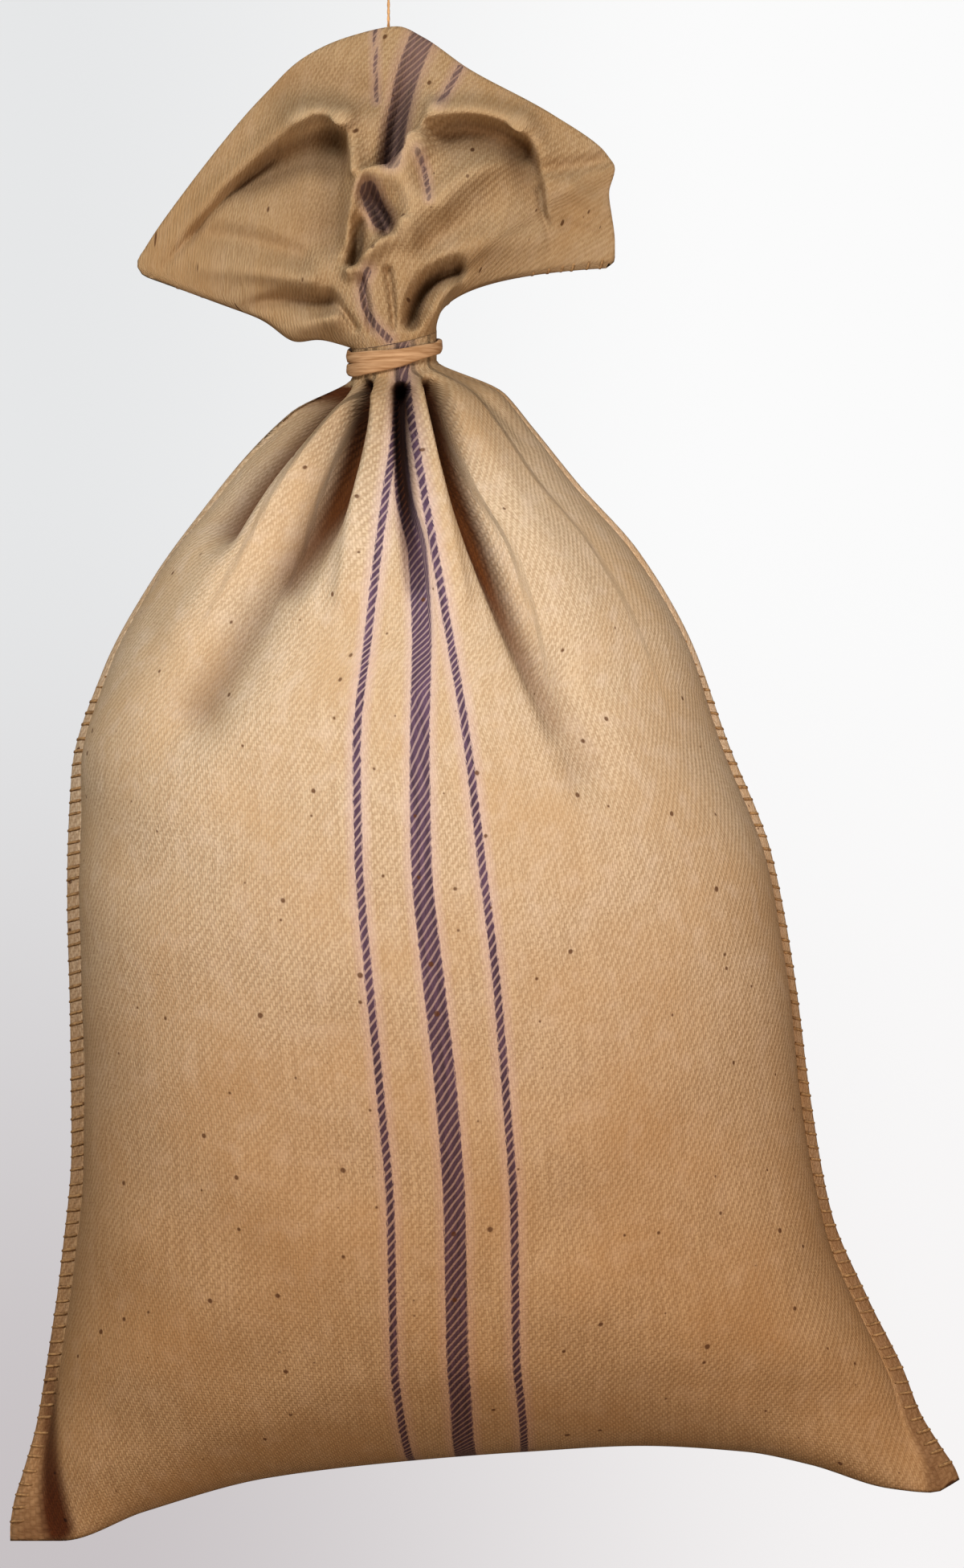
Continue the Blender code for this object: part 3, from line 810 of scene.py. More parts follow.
    def with_stripes(self, g: Graph, colour: Socket, over: Socket,
                     slub: Socket, fibre: Socket) -> Socket:
        """Dyes the warp floats near the stripes' middle lines and lets the dye bleed beside them.

        Args:
            g: The material's graph.
            colour: The undyed colour.
            over: 1 where the warp lies on top.
            slub: Thread by thread noise.
            fibre: Finer noise, which frays the stripes' edges.

        Returns:
            The colour with the stripes.
        """
        away = g.add("Attribute", attribute_name="stripes", out="Vector")
        left = g.add("SeparateXYZ", away)
        wide, right = left.node.outputs[1], left.node.outputs[2]
        frayed = g.ramp(fibre, 0.3, 0.7, -0.7, 0.7)
        mask = bleed = 0.0
        for socket, half, least in ((left, self.thin_half, 0.4), (wide, self.wide_half, 0.52),
                                    (right, self.thin_half, 0.4)):
            distance = g.math("ADD", g.math("ABSOLUTE", socket), frayed)
            inside = g.ramp(distance, half - 0.5, half + 0.5, 1.0, 0.0)
            dyed = g.math("MULTIPLY", inside, g.ramp(over, 0.0, 1.0, least, 0.95))
            beside = g.ramp(distance, half - 0.5, half + 0.8, 0.75, 0.6)
            beside = g.math("MULTIPLY", beside, g.ramp(distance, half, half + 7.0, 1.0, 0.0))
            mask, bleed = g.math("MAXIMUM", mask, dyed), g.math("MAXIMUM", bleed, beside)
        colour = g.mix(bleed, colour, linear(self.halo))
        dye = g.mix(g.ramp(slub, 0.35, 0.7, 0.0, 0.6), linear(self.dye), linear(self.dye_pale))
        level = g.add("SeparateXYZ", g.add("TexCoord", out="Object")).node.outputs[2]
        return g.mix(g.math("MULTIPLY", mask, g.ramp(level, -0.30, -0.24, 1.0, 0.75)), colour, dye)

    def with_bark(self, g: Graph, cloth: Socket, colour: Socket) -> Socket:
        """Scatters dark specks of bark, up to a few millimetres across.

        Args:
            g: The material's graph.
            cloth: The cloth's coordinates.
            colour: The colour without specks.

        Returns:
            The colour with specks.
        """
        cells = g.add("TexVoronoi", named={"Vector": cloth, "Scale": 42.0, "Randomness": 1.0},
                      voronoi_dimensions="2D")
        size = g.ramp(g.add("SeparateXYZ", cells.node.outputs["Color"]), 0.68, 1.0, 0.0, 0.1)
        speck = g.math("MULTIPLY", g.math("SUBTRACT", size, cells), 28.0, use_clamp=True)
        return g.mix(g.math("MULTIPLY", speck, 0.85), colour, linear(self.bark))


@dataclass(frozen=True)
class Yarn:
    """A plain yarn or flat strand of jute, with fibres along it."""

    name: str
    light: str
    dark: str
    fibre_scale: Triple

    def material(self) -> bpy.types.Material:
        """Builds the yarn's material from Object coordinates.

        Returns:
            The finished material.
        """
        # Loose fibres: streaks of light and shade in a matt, slightly silky yarn.
        made, g, shader = new_material(self.name)
        place = g.add("TexCoord", out="Object")
        streak = g.noise(place, self.fibre_scale, 3.0)
        colour = g.mix(g.ramp(streak, 0.3, 0.7), linear(self.dark), linear(self.light))
        bump = g.add("Bump", named={"Strength": 0.7, "Distance": 0.3 * MM, "Height": streak})
        finish_surface(g, shader, colour, bump, 0.8, 0.25)
        return made


@dataclass
class Neck:
    """The leaning oval that the tie draws the cloth into."""

    x: float = 4.0
    z: float = -262.0
    half_width: float = 29.0
    half_depth: float = 25.0
    lean_x: float = 0.20
    lean_y: float = 0.20
    half_height: float = 10.0

    def plan(self, places: Array, side: Side) -> tuple[Array, Array]:
        """X = x - w cos t and Y = d sin t, with t running over half a turn for each panel.

        Args:
            places: Places across the panel.
            side: Which panel.

        Returns:
            X and Y.
        """
        turn = (places * 0.985 + 1) * math.pi / 2
        return self.x - self.half_width * np.cos(turn), side.value * self.half_depth * np.sin(turn)

    def plane(self, x: Array, y: Array) -> Array:
        """Height of the leaning plane through the middle of the tie.

        Args:
            x: X of the points.
            y: Y of the points.

        Returns:
            Their Z.
        """
        return self.z + self.lean_x * (x - self.x) + self.lean_y * y


@dataclass
class SackCloth:
    """The whole cloth of the sack: the filled body, the neck and the open ruff above it."""

    neck: Neck
    finish: JuteTwill = field(default_factory=JuteTwill)
    columns: int = 150
    body_rows: int = 150
    ruff_rows: int = 118
    mouth_rows: int = 54
    half_cloth: float = 337.0
    thick: float = 2.7
    seam_root: float = 0.965
    seam_half_thick: float = 1.6
    seam_columns: int = 4
    ruff_dome: float = 26.0
    ruff_back_dome: float = 14.0
    hem_front: float = 4.0
    hem_back: float = 16.0
    least_between: float = 14.0
    deepest_fold: float = 24.0
    full_shade: float = 24.0
    ruff_full_shade: float = 20.0
    ruff_shade: float = 0.38
    seam_shade: float = 0.25
    low_seam_shade: float = 1.0
    crest_knee: float = 8.0
    crest_top: float = 19.0
    crest_light: float = 0.2
    mouth_floor: float = 0.42
    least_half_mouth: float = 0.6
    lump_height: float = 1.3
    most_packed: float = 1.2
    least_half_body: float = 4.0
    roll_drop: float = 8.0
    corner_roll: float = 5.0
    corner_wide: float = 0.12
    roll_at: float = 0.33
    roll_wide: float = 0.11
    folds_grow: float = 0.12
    gathers_fade: float = 0.02
    pleats_from: float = 0.55
    drift_from: float = 0.6
    section_samples: int = 721
    neck_from: float = 0.97
    neck_steps: int = 4
    even_rows: float = 0.4
    ruff_rows_power: float = 1.15
    inner_seam: float = 0.93
    inner_strip: float = 0.02
    pleat_width: float = 5.0
    stripes_apart: float = 41.0
    seam_gap: float = 3.0
    front: Array = field(init=False, default=None)
    back: Array = field(init=False, default=None)

    def places(self) -> Array:
        """Spreads the columns over a panel, with a few on the flat seam at each edge.

        Returns:
            Places from -1 to 1.
        """
        seam = np.linspace(self.seam_root, 1, self.seam_columns)
        belly = np.linspace(-self.seam_root, self.seam_root, self.columns - 2 * self.seam_columns + 2)
        return np.concatenate([-seam[:0:-1], belly, seam[1:]])

    def section(self, height: float, places: Array, side: Side) -> Array:
        """X and Y of one panel's section, its points spread evenly along the cloth.

        The panel is |y| = depth sin(t)^(2 point) over x = c - w cos(t) between the seams' roots,
        and a flat seam with a rounded edge outside them.

        Args:
            height: The level, from 0 at the bottom fold to 1 at the tie.
            places: Places across the panel.
            side: Which panel.

        Returns:
            (columns, 2) points.
        """
        row = {name: float(column_of(SECTIONS, "height", name, height)) for name in Section._fields[1:]}
        root_left = row["left"] + row["fin_left"]
        root_right = row["right"] - row["fin_right"]
        turn = np.linspace(0, math.pi, self.section_samples)
        x = (root_left + root_right) / 2 - (root_right - root_left) / 2 * np.cos(turn)
        puff = max(row["depth"] - self.seam_half_thick, 0) * np.sin(turn) ** (2 * row["point"])
        length = np.concatenate([[0], np.cumsum(np.hypot(np.diff(x), np.diff(puff)))])
        middle = np.interp(row["middle"], x, length)
        share = np.clip(places / self.seam_root, -1, 1)
        reach = np.where(share < 0, middle * (1 + share), middle + (length[-1] - middle) * share)
        flat = np.clip((np.abs(places) - self.seam_root) / (1 - self.seam_root), 0, 1)
        fin = np.where(places < 0, -row["fin_left"], row["fin_right"])
        edge = min(self.seam_half_thick, row["depth"])
        seam = edge * (1 + 0.45 * np.sin(math.pi * flat) - 0.6 * flat**6)
        out_x = np.interp(reach, length, x) + fin * flat
        return np.stack([out_x, side.value * (seam + np.interp(reach, length, puff))], axis=-1)

    def body_panel(self, heights: Array, places: Array, side: Side) -> Array:
        """The body's panel before its gathers.

        Args:
            heights: The levels of the rows.
            places: Places across the panel.
            side: Which panel.

        Returns:
            (rows, columns, 3) points.
        """
        plan = np.stack([self.section(float(height), places, side) for height in heights])
        neck_x, neck_y = self.neck.plan(places, side)
        near = (np.clip((heights - self.neck_from) / (1 - self.neck_from), 0, 1) ** 2)[:, None]
        x = plan[..., 0] + (neck_x - plan[..., 0]) * near
        y = plan[..., 1] + (neck_y - plan[..., 1]) * near
        low = column_of(BOTTOM_FOLD, "x", "z", self.section(0.0, places, side)[:, 0])
        high = self.neck.plane(neck_x, neck_y) - self.neck.half_height
        return np.stack([x, y, low + (high - low) * heights[:, None]], axis=-1)

    def body(self, smooth: Sequence[Array], heights: Array, places: Array) -> tuple[Array, Array]:
        """Both panels of the body with the gathers, lumps and bottom fold.

        Each point moves along its normal in plan by the relief of the gathers and the lumps.

        Args:
            smooth: The two panels before the gathers.
            heights: The levels of the rows.
            places: Places across a panel.

        Returns:
            The front and the back panel, each (rows, columns, 3).
        """
        front, back = (panel.copy() for panel in smooth)
        ring = np.concatenate([front, back[:, ::-1]], axis=1)
        ahead = np.roll(ring, -1, axis=1) - np.roll(ring, 1, axis=1)
        normal = unit(np.stack([ahead[..., 1], -ahead[..., 0]], axis=-1))
        free = np.clip((1 - np.abs(places) ** 6) * 1.2, 0, 1)
        free = free * np.minimum(1, (1 - heights) / self.gathers_fade)[:, None]
        soft = free * np.clip(heights / 0.05, 0, 1)[:, None] * self.lump_height
        count = len(places)
        normals = (normal[:, :count], normal[:, : count - 1 : -1])
        tables = (FRONT_GATHERS, BACK_GATHERS)
        for panel, across, table, side, seed in zip((front, back), normals, tables, Side, (5, 8)):
            moves = relief(panel[..., 0], panel[..., 2], table) * free[..., None]
            rise = moves[..., 0] + lumps(panel[..., 0], panel[..., 2], seed, (70, 190)) * soft
            deepest = np.minimum(np.abs(panel[..., 1]), self.least_half_body)
            panel[..., :2] += across * rise[..., None]
            panel[..., ::2] += moves[..., 1:]
            panel[..., 1] = side.value * np.maximum(side.value * panel[..., 1], deepest)
            panel[0, :, 1] = 0
        return front, back

    def ruff_view(self, rises: Array, places: Array, side: Side) -> tuple[Array, Array]:
        """X and Z of the ruff's columns, quadratic curves from the neck over a turn to the hem.

        Args:
            rises: Shares of the way from the neck to the hem, as rows.
            places: Places across the panel, as columns.
            side: Which panel.

        Returns:
            X and Z, each (rows, columns).
        """
        neck_x, neck_y = self.neck.plan(places, side)
        neck_z = self.neck.plane(neck_x, neck_y) + self.neck.half_height
        low, turn, high = (1 - rises) ** 2, 2 * rises * (1 - rises), rises**2
        turn_x, turn_z = (column_of(TURNS, "place", name, places) for name in "xz")
        hem_x, hem_z = (column_of(HEM, "place", name, places) for name in "xz")
        # A soft roll of cloth low on the ruff's left side.
        roll = np.exp(-(((rises - self.roll_at) / self.roll_wide) ** 2))
        roll = roll * smooth_step((-places - 0.75) / 0.25)
        x = low * neck_x + turn * turn_x + high * hem_x
        return x, low * neck_z + turn * turn_z + high * hem_z - self.roll_drop * roll

    def ruff_skin(self, rises: Array, places: Array, inward: float, folded: bool) -> list[Array]:
        """Both panels of one skin of the ruff.

        The front's crests are h up to the knee k and k + s tanh((h - k) / s) above it, so that
        they round off below the top, with s the top less the knee.

        Args:
            rises: Shares of the way to the hem.
            places: Places across the panels.
            inward: How far the skin lies behind the outer one.
            folded: Whether it has its folds.

        Returns:
            The front and the back panel, each (rows, columns, 3).
        """
        rises, places = rises[:, None], places[None, :]
        _, neck_y = self.neck.plan(places, Side.BACK)
        crown = np.clip(1 - places**2, 0, 1) ** 0.6
        belly = 4 * rises * (1 - rises)
        from_neck = neck_y * (1 - rises) ** 2
        grown = np.minimum(1.0, rises / self.folds_grow)
        loose = np.clip((1 - np.abs(places) ** 4) * 1.6, 0, 1) * grown * crown**0.25
        views = [np.stack(self.ruff_view(rises, places, side), axis=-1) for side in Side]
        folds = [relief(view[..., 0], view[..., 1], table) * loose[..., None] * folded
                 for view, table in zip(views, (RUFF_FRONT, RUFF_BACK))]
        spare = self.crest_top - self.crest_knee
        over = np.maximum(folds[0][..., 0] - self.crest_knee, 0)
        crests = np.minimum(folds[0][..., 0], self.crest_knee) + spare * np.tanh(over / spare)
        front = from_neck + crown * (self.ruff_dome * belly + self.hem_front * rises) + crests
        back = from_neck + crown * (self.ruff_back_dome * belly + self.hem_back * rises)
        back = back + folds[1][..., 0]
        front = np.maximum(front, self.seam_half_thick - self.deepest_fold * crown)
        # The hem's left corner rolls forward.
        rolled = np.exp(-(((places + 1) / self.corner_wide) ** 2)) * smooth_step((rises - 0.6) / 0.4)
        front = front + rolled * self.corner_roll
        apart = 2 * self.seam_half_thick
        back = np.maximum(back, apart + (self.least_between - apart) * crown - front)
        if inward:
            middle = (back - front) / 2
            front = np.maximum(front - inward, self.least_half_mouth - middle)
            back = np.maximum(back - inward, self.least_half_mouth + middle)
        return [
            np.stack([view[..., 0] + fold[..., 1], depth, view[..., 1] + fold[..., 2]], axis=-1)
            for view, fold, depth in zip(views, folds, (-front, back))
        ]

    def neck_rows(self, places: Array, lifts: Array) -> tuple[Array, Array]:
        """Both panels' rows on the neck.

        Args:
            places: Places across the panels.
            lifts: Distances above the middle of the tie.

        Returns:
            The front and the back panel.
        """
        panels = []
        for side in Side:
            x, y = self.neck.plan(places, side)
            z = self.neck.plane(x, y)[None, :] + lifts[:, None]
            panels.append(np.stack([np.broadcast_to(x, z.shape), np.broadcast_to(y, z.shape), z], axis=-1))
        return panels[0], panels[1]

    def weave_across(self, panel: Array, places: Array, heights: Array, sign: float) -> Array:
        """Cloth coordinate across each row: the length along the row, plus what pleats swallow.

        u = s + sum of J_k S((s - s_k) / w), where J_k is the cloth between two sectors' middles
        less the length that shows, and S a smooth step at the pleat between them. The ruff above
        the tie has no such pleats: there u is the length from the middle.

        Args:
            panel: (rows, columns, 3) points.
            places: Places across the panel.
            heights: Each row's level, 1 at the neck and above.
            sign: -1 on the back, where the cloth runs from right to left.

        Returns:
            (rows, columns) millimetres from the middle.
        """
        steps = np.linalg.norm(np.diff(panel, axis=1), axis=-1)
        length = np.concatenate([np.zeros((len(panel), 1)), np.cumsum(steps, axis=1)], axis=1)
        length *= np.clip(2 * self.half_cloth / np.maximum(length[:, -1:], 1.0), 1.0, self.most_packed)
        out = np.empty(length.shape)
        for row, height in enumerate(heights):
            if height > 1:
                out[row] = length[row] - np.interp(0.0, places, length[row])
                continue
            grown = float(smooth_step(np.array((height - self.pleats_from) / 0.2)))
            drift = min(max((height - self.drift_from) / (1 - self.drift_from), 0.0), 1.0)
            folds = np.array([p.low + (p.neck - p.low) * drift for p in PLEATS])
            edges = np.concatenate([[-1], folds, [1]])
            middles = (edges[1:] + edges[:-1]) / 2
            at = np.interp(middles, places, length[row])
            cloth = middles * self.half_cloth
            fold_at = np.interp(folds, places, length[row])
            swallowed = np.maximum(np.diff(cloth) - np.diff(at), 0)
            steps_up = smooth_step((length[row][:, None] - fold_at) / self.pleat_width + 0.5)
            u = length[row] - at[0] + cloth[0] + (steps_up * swallowed).sum(axis=1)
            out[row] = places * self.half_cloth * (1 - grown) + u * grown
        return out * sign

    def stripe_distances(self, panel: Array, heights: Array, side: Side, across: Array) -> Array:
        """Signed distances of each point from the three stripes' middle lines.

        Args:
            panel: (rows, columns, 3) points, the body first and then the ruff.
            heights: Each row's level, above 1 on the ruff.
            side: Which panel.
            across: The cloth coordinate, which the back's stripes follow.

        Returns:
            (rows, columns, 3) distances: left, wide and right.
        """
        if side is Side.BACK:
            return np.stack([across + self.stripes_apart, across, across - self.stripes_apart], axis=-1)
        body = np.clip(heights, 0, 1)[:, None]
        x, z = panel[..., 0], panel[..., 2]
        found = [x - column_of(STRIPE_PATHS, "height", name, body) for name in ("left", "wide", "right")]
        found[1] = found[1] * self.finish.wide_half / column_of(STRIPE_PATHS, "height", "wide_half", body)
        stripes = (
            (RUFF_LEFT_STRIPE, self.finish.thin_half),
            (RUFF_WIDE_STRIPE, self.finish.wide_half),
            (RUFF_RIGHT_STRIPE, self.finish.thin_half),
        )
        for i, (strokes, half) in enumerate(stripes):
            nearest = np.full(x.shape, FAR)
            for stroke in strokes:
                near = nearest_on(stroke, x, z)
                scaled = near.away * half / stroke.wide(near.along)
                nearest = np.where(np.abs(scaled) < np.abs(nearest), scaled, nearest)
            found[i] = np.where(heights[:, None] > 1, np.abs(nearest), found[i])
        return np.stack(found, axis=-1)

    def fold_shares(self, flat: Array, heights: Array, places: Array, side: Side) -> Array:
        """Painted shade by how deep each point lies in a fold, and painted highlight by how high it lies on
        one, both by a smooth step; the same shade share also darkens the flat seams, more so low on the
        right.

        Args:
            flat: (rows, columns, 3) points before the folds.
            heights: Each row's level, above 1 on the ruff.
            places: Places across the panel, to tell the seams.
            side: Which panel.

        Returns:
            (rows, columns, 2) shares from 0 to 1: the hollows' painted shade and the crests' painted
            highlight.
        """
        front = side is Side.FRONT
        tables = (FRONT_GATHERS + FRONT_SHADES, RUFF_FRONT) if front else (BACK_GATHERS, RUFF_BACK)
        on_body = heights <= 1
        rise = np.concatenate([
            relief(part[..., 0], part[..., 2], strokes)[..., 0]
            for part, strokes in zip((flat[on_body], flat[~on_body]), tables)
        ])
        most = np.where(on_body, 1.0, self.ruff_shade)[:, None]
        full = np.where(on_body, self.full_shade, self.ruff_full_shade)[:, None]
        high = np.where(on_body, 0.0, self.crest_light)[:, None]
        low = smooth_step((0.5 - heights) / 0.35)[:, None] * (places > 0)
        seam = self.seam_shade * (1 + self.low_seam_shade * low) * (np.abs(places) > self.seam_root)
        shade = np.maximum(most * smooth_step((-rise - 4.0) / full), seam)
        return np.stack([shade, high * smooth_step((rise - 5.0) / 14.0)], axis=-1)

    def build(self) -> Piece:
        """Builds the cloth as one closed mesh with its UV map and stripe distances.

        Returns:
            The cloth's object.
        """
        places = self.places()
        even = np.linspace(0, 1, self.body_rows)
        heights = self.even_rows * even + (1 - self.even_rows) * (1 - np.cos(math.pi * even)) / 2
        rises = np.linspace(0, 1, self.ruff_rows + 1)[1:] ** self.ruff_rows_power
        smooth_body = [self.body_panel(heights, places, side) for side in Side]
        body = self.body(smooth_body, heights, places)
        lifts = np.linspace(-1, 1, self.neck_steps + 1)[1:] * self.neck.half_height
        around_neck = self.neck_rows(places, lifts)
        ruff = self.ruff_skin(rises, places, 0.0, True)
        smooth_ruff = self.ruff_skin(rises, places, 0.0, False)
        down = np.linspace(1.0, self.mouth_floor, self.mouth_rows)
        # The inner skin's edge columns are drawn inside the seams.
        beyond = np.clip((np.abs(places) - self.inner_seam) / (1 - self.inner_seam), 0, 1)
        drawn_in = np.sign(places) * (self.inner_seam + self.inner_strip * beyond)
        mouth = self.ruff_skin(down, np.where(beyond > 0, drawn_in, places), self.thick, True)
        levels = np.concatenate([heights, np.ones(self.neck_steps), 1 + rises, 1 + down])
        panels = [np.concatenate(parts) for parts in zip(body, around_neck, ruff, mouth)]
        unfolded = [np.concatenate(parts) for parts in zip(smooth_body, around_neck, smooth_ruff, mouth)]
        self.front, self.back = (panel[: -len(down)] for panel in panels)
        halves = []
        for side, panel, flat in zip(Side, panels, unfolded):
            across = self.weave_across(flat, places, levels, -side.value)
            steps = np.linalg.norm(np.diff(flat, axis=0), axis=-1)
            along = np.concatenate([np.zeros((1, len(places))), np.cumsum(steps, axis=0)])
            distances = self.stripe_distances(panel, levels, side, across)
            shares = self.fold_shares(flat, levels, places, side)
            half = np.concatenate([panel, across[..., None], along[..., None], distances, shares], axis=-1)
            halves.append(half[:, :: -side.value])
        whole = np.concatenate(halves, axis=1)
        for row in (0, -1):
            whole[row, :, :3] = (whole[row, :, :3] + whole[row, ::-1, :3]) / 2
        made = self.mesh(*np.split(whole, (3, 4, 5, 8), axis=-1))
        return made

    def mesh(self, points: Array, across: Array, along: Array, stripes: Array,
             shares: Array) -> Piece:
        """Joins the rings into one closed mesh, its bottom fold and its mouth's floor shut.

        Args:
            points: (rows, around, 3) points.
            across: (rows, around, 1) cloth coordinate across.
            along: (rows, around, 1) cloth coordinate along.
            stripes: (rows, around, 3) stripe distances.
            shares: (rows, around, 2) shares of the folds' painted shade and of their crests' painted
                highlight.

        Returns:
            The cloth's object.
        """
        rows, around = points.shape[:2]
        index = np.arange(rows * around).reshape(rows, around)
        half = around // 2
        for row in (0, -1):
            index[row, half:] = index[row, :half][::-1]
        across, along = across[..., 0], along[..., 0]
        ahead_across, ahead_along = (np.roll(grid, -1, axis=1) for grid in (across, along))
        for column in (half - 1, around - 1):
            ahead_across[:, column] = across[:, column] + self.seam_gap
            ahead_along[:, column] = along[:, column]
        used = np.unique(index)
        renumber = np.zeros(rows * around, int)
        renumber[used] = np.arange(len(used))
        corners = quads(renumber[index], renumber[np.roll(index, -1, axis=1)])
        cloth = np.stack([quads(across, ahead_across), quads(along, ahead_along)], axis=-1)
        low_shut, high_shut = corners[:, 0] == corners[:, 1], corners[:, 2] == corners[:, 3]
        picks = ((~(low_shut | high_shut), [0, 1, 2, 3]), (low_shut, [0, 2, 3]), (high_shut, [0, 1, 2]))
        faces = [face for which, keep in picks for face in corners[which][:, keep].tolist()]
        uv = np.concatenate([cloth[which][:, keep].reshape(-1, 2) for which, keep in picks])
        made = mesh_piece("sack_cloth", points.reshape(-1, 3)[used], faces, self.finish.material(),
                          ("sack",))
        made.data.uv_layers.new(name="cloth").data.foreach_set("uv", (uv * MM).ravel())
        distances = made.data.attributes.new("stripes", "FLOAT_VECTOR", "POINT")
        distances.data.foreach_set("vector", stripes.reshape(-1, 3)[used].ravel())
        for i, name in enumerate(FOLD_SHARES):
            layer = made.data.attributes.new(name, "FLOAT", "POINT")
            layer.data.foreach_set("value", shares[..., i].ravel()[used])
        return made


@dataclass
class SeamStitches:
    """Overcast yarn that joins the two panels along one side."""

    cloth: SackCloth
    left: bool
    yarn: Yarn
    pitch: float = 9.0
    reach: float = 9.5
    radius: float = 1.05
    slant: float = 3.2
    start: float = 14.0
    neck_clear: float = 24.0
    uneven: float = 0.12
    open_turn: float = 0.80
    narrow_seam: float = 4.5
    least_reach: float = 2.5

    def build(self) -> Piece:
        """Lays one loop of yarn round the seam's edge every pitch.

        A loop is c + a cos(t) e + b sin(t) y for t over most of a turn, with e the way out of the
        seam, and slides along the seam by its slant as it goes.

        Returns:
            The stitches of this side as one object.
        """
        column, root = (0, 3) if self.left else (-1, -4)
        edge = (self.cloth.front[:, column] + self.cloth.back[:, column]) / 2
        base = (self.cloth.front[:, root] + self.cloth.back[:, root]) / 2
        run = np.concatenate([[0], np.cumsum(np.linalg.norm(np.diff(edge, axis=0), axis=1))])
        rng = np.random.default_rng(11 if self.left else 12)
        stops = np.arange(self.start, run[-1] - 3, self.pitch)
        stops = stops + rng.uniform(-self.uneven, self.uneven, len(stops)) * self.pitch
        neck_run = run[self.cloth.body_rows + 1]
        stops = stops[np.abs(stops - neck_run) > self.neck_clear]
        at, inner, beyond = (
            np.stack([np.interp(where, run, line[:, i]) for i in range(3)], -1)
            for where, line in ((stops, edge), (stops, base), (stops + 4, edge))
        )
        ahead = unit(beyond - at)
        out = square_to(ahead, at - inner)
        width = np.linalg.norm(out, axis=1, keepdims=True)
        out = unit(out)
        # Where the seam is narrow the stitches shift back and in, so that they stay on the cloth.
        narrow = np.clip((self.narrow_seam - width) / 1.5, 0, 1)
        half_long = (np.clip(width, self.least_reach, self.reach) / 2)[:, None]
        at = at + np.array([0, 1, 0]) * narrow * 2.4 - out * narrow * 1.2
        turn = np.linspace(-self.open_turn, self.open_turn, 13) * math.pi
        centre = (at - out * 0.3)[:, None] - out[:, None] * half_long
        paths = (
            centre
            + out[:, None] * half_long * np.cos(turn)[None, :, None]
            - np.array([0, self.cloth.seam_half_thick + self.radius * 0.9, 0]) * np.sin(turn)[None, :, None]
            + ahead[:, None] * (self.slant * turn / math.pi)[None, :, None]
        )
        near = np.broadcast_to(ahead[:, None], paths.shape)
        radii = np.full(paths.shape[:2], self.radius) * rng.uniform(0.85, 1.15, (len(stops), 1))
        points, faces = tubes(paths, near, radii, 6)
        name = "seam_stitches_left" if self.left else "seam_stitches_right"
        return mesh_piece(name, points, faces, self.yarn.material())


@dataclass
class NeckTie:
    """Two turns of a flat strand round the neck, apart on the left and crossing on the right."""

    neck: Neck
    yarn: Yarn
    gap: float = 0.4
    height: float = 8.5
    thick: float = 3.6
    crossing: float = 0.08
    offset: float = 2.2
    fibres: int = 5
    winds: int = 4
    fibre_depth: float = 0.05
    waver: float = 0.04
    steps: int = 160
    around: int = 28

    def turn(self, crossing: float, offset: float, phase: float) -> Array:
        """One turn: a rounded strand with fibre ridges that wind slowly along it.

        Args:
            crossing: How fast it climbs to the right.
            offset: How far it lies above the middle.
            phase: Where its ridges start.

        Returns:
            (steps, around, 3) points.
        """
        round_neck = np.linspace(0, 2 * math.pi, self.steps, endpoint=False)[:, None]
        profile = np.linspace(0, 2 * math.pi, self.around, endpoint=False)[None, :]
        x = self.neck.x + self.neck.half_width * np.cos(round_neck)
        y = self.neck.half_depth * np.sin(round_neck)
        out_x = np.cos(round_neck) / self.neck.half_width
        out_y = np.sin(round_neck) / self.neck.half_depth
        scale = np.hypot(out_x, out_y)
        fibres = self.fibre_depth * np.cos(self.fibres * profile + self.winds * round_neck + phase)
        ridges = 1 + fibres + self.waver * np.sin(3 * round_neck + phase)
        off = self.gap + self.thick / 2 * (1 + np.cos(profile) * np.abs(np.cos(profile)) ** -0.3 * ridges)
        off = np.maximum(off, self.gap)
        level = self.neck.plane(x, y) + crossing * (x - self.neck.x) + offset
        rise = self.height / 2 * np.sin(profile) * ridges * (1 + 0.08 * np.sin(5 * round_neck + phase))
        return np.stack([x + out_x / scale * off, y + out_y / scale * off, level + rise], axis=-1)

    def build(self) -> Piece:
        """Builds both turns as one object.

        Returns:
            The tie.
        """
        turns = [self.turn(-self.crossing, self.offset, 0.0), self.turn(self.crossing, -self.offset, 2.0)]
        index = np.arange(self.steps * self.around).reshape(self.steps, self.around)
        ahead = np.roll(index, -1, axis=0)
        beside, beyond = np.roll(index, -1, axis=1), np.roll(ahead, -1, axis=1)
        faces = np.stack([index, ahead, beyond, beside], axis=-1).reshape(-1, 4)
        both = np.concatenate([faces, faces + index.size])
        points = np.concatenate([turn.reshape(-1, 3) for turn in turns])
        return mesh_piece("neck_tie_strands", points, both.tolist(), self.yarn.material(),
                          ("neck_tie",))


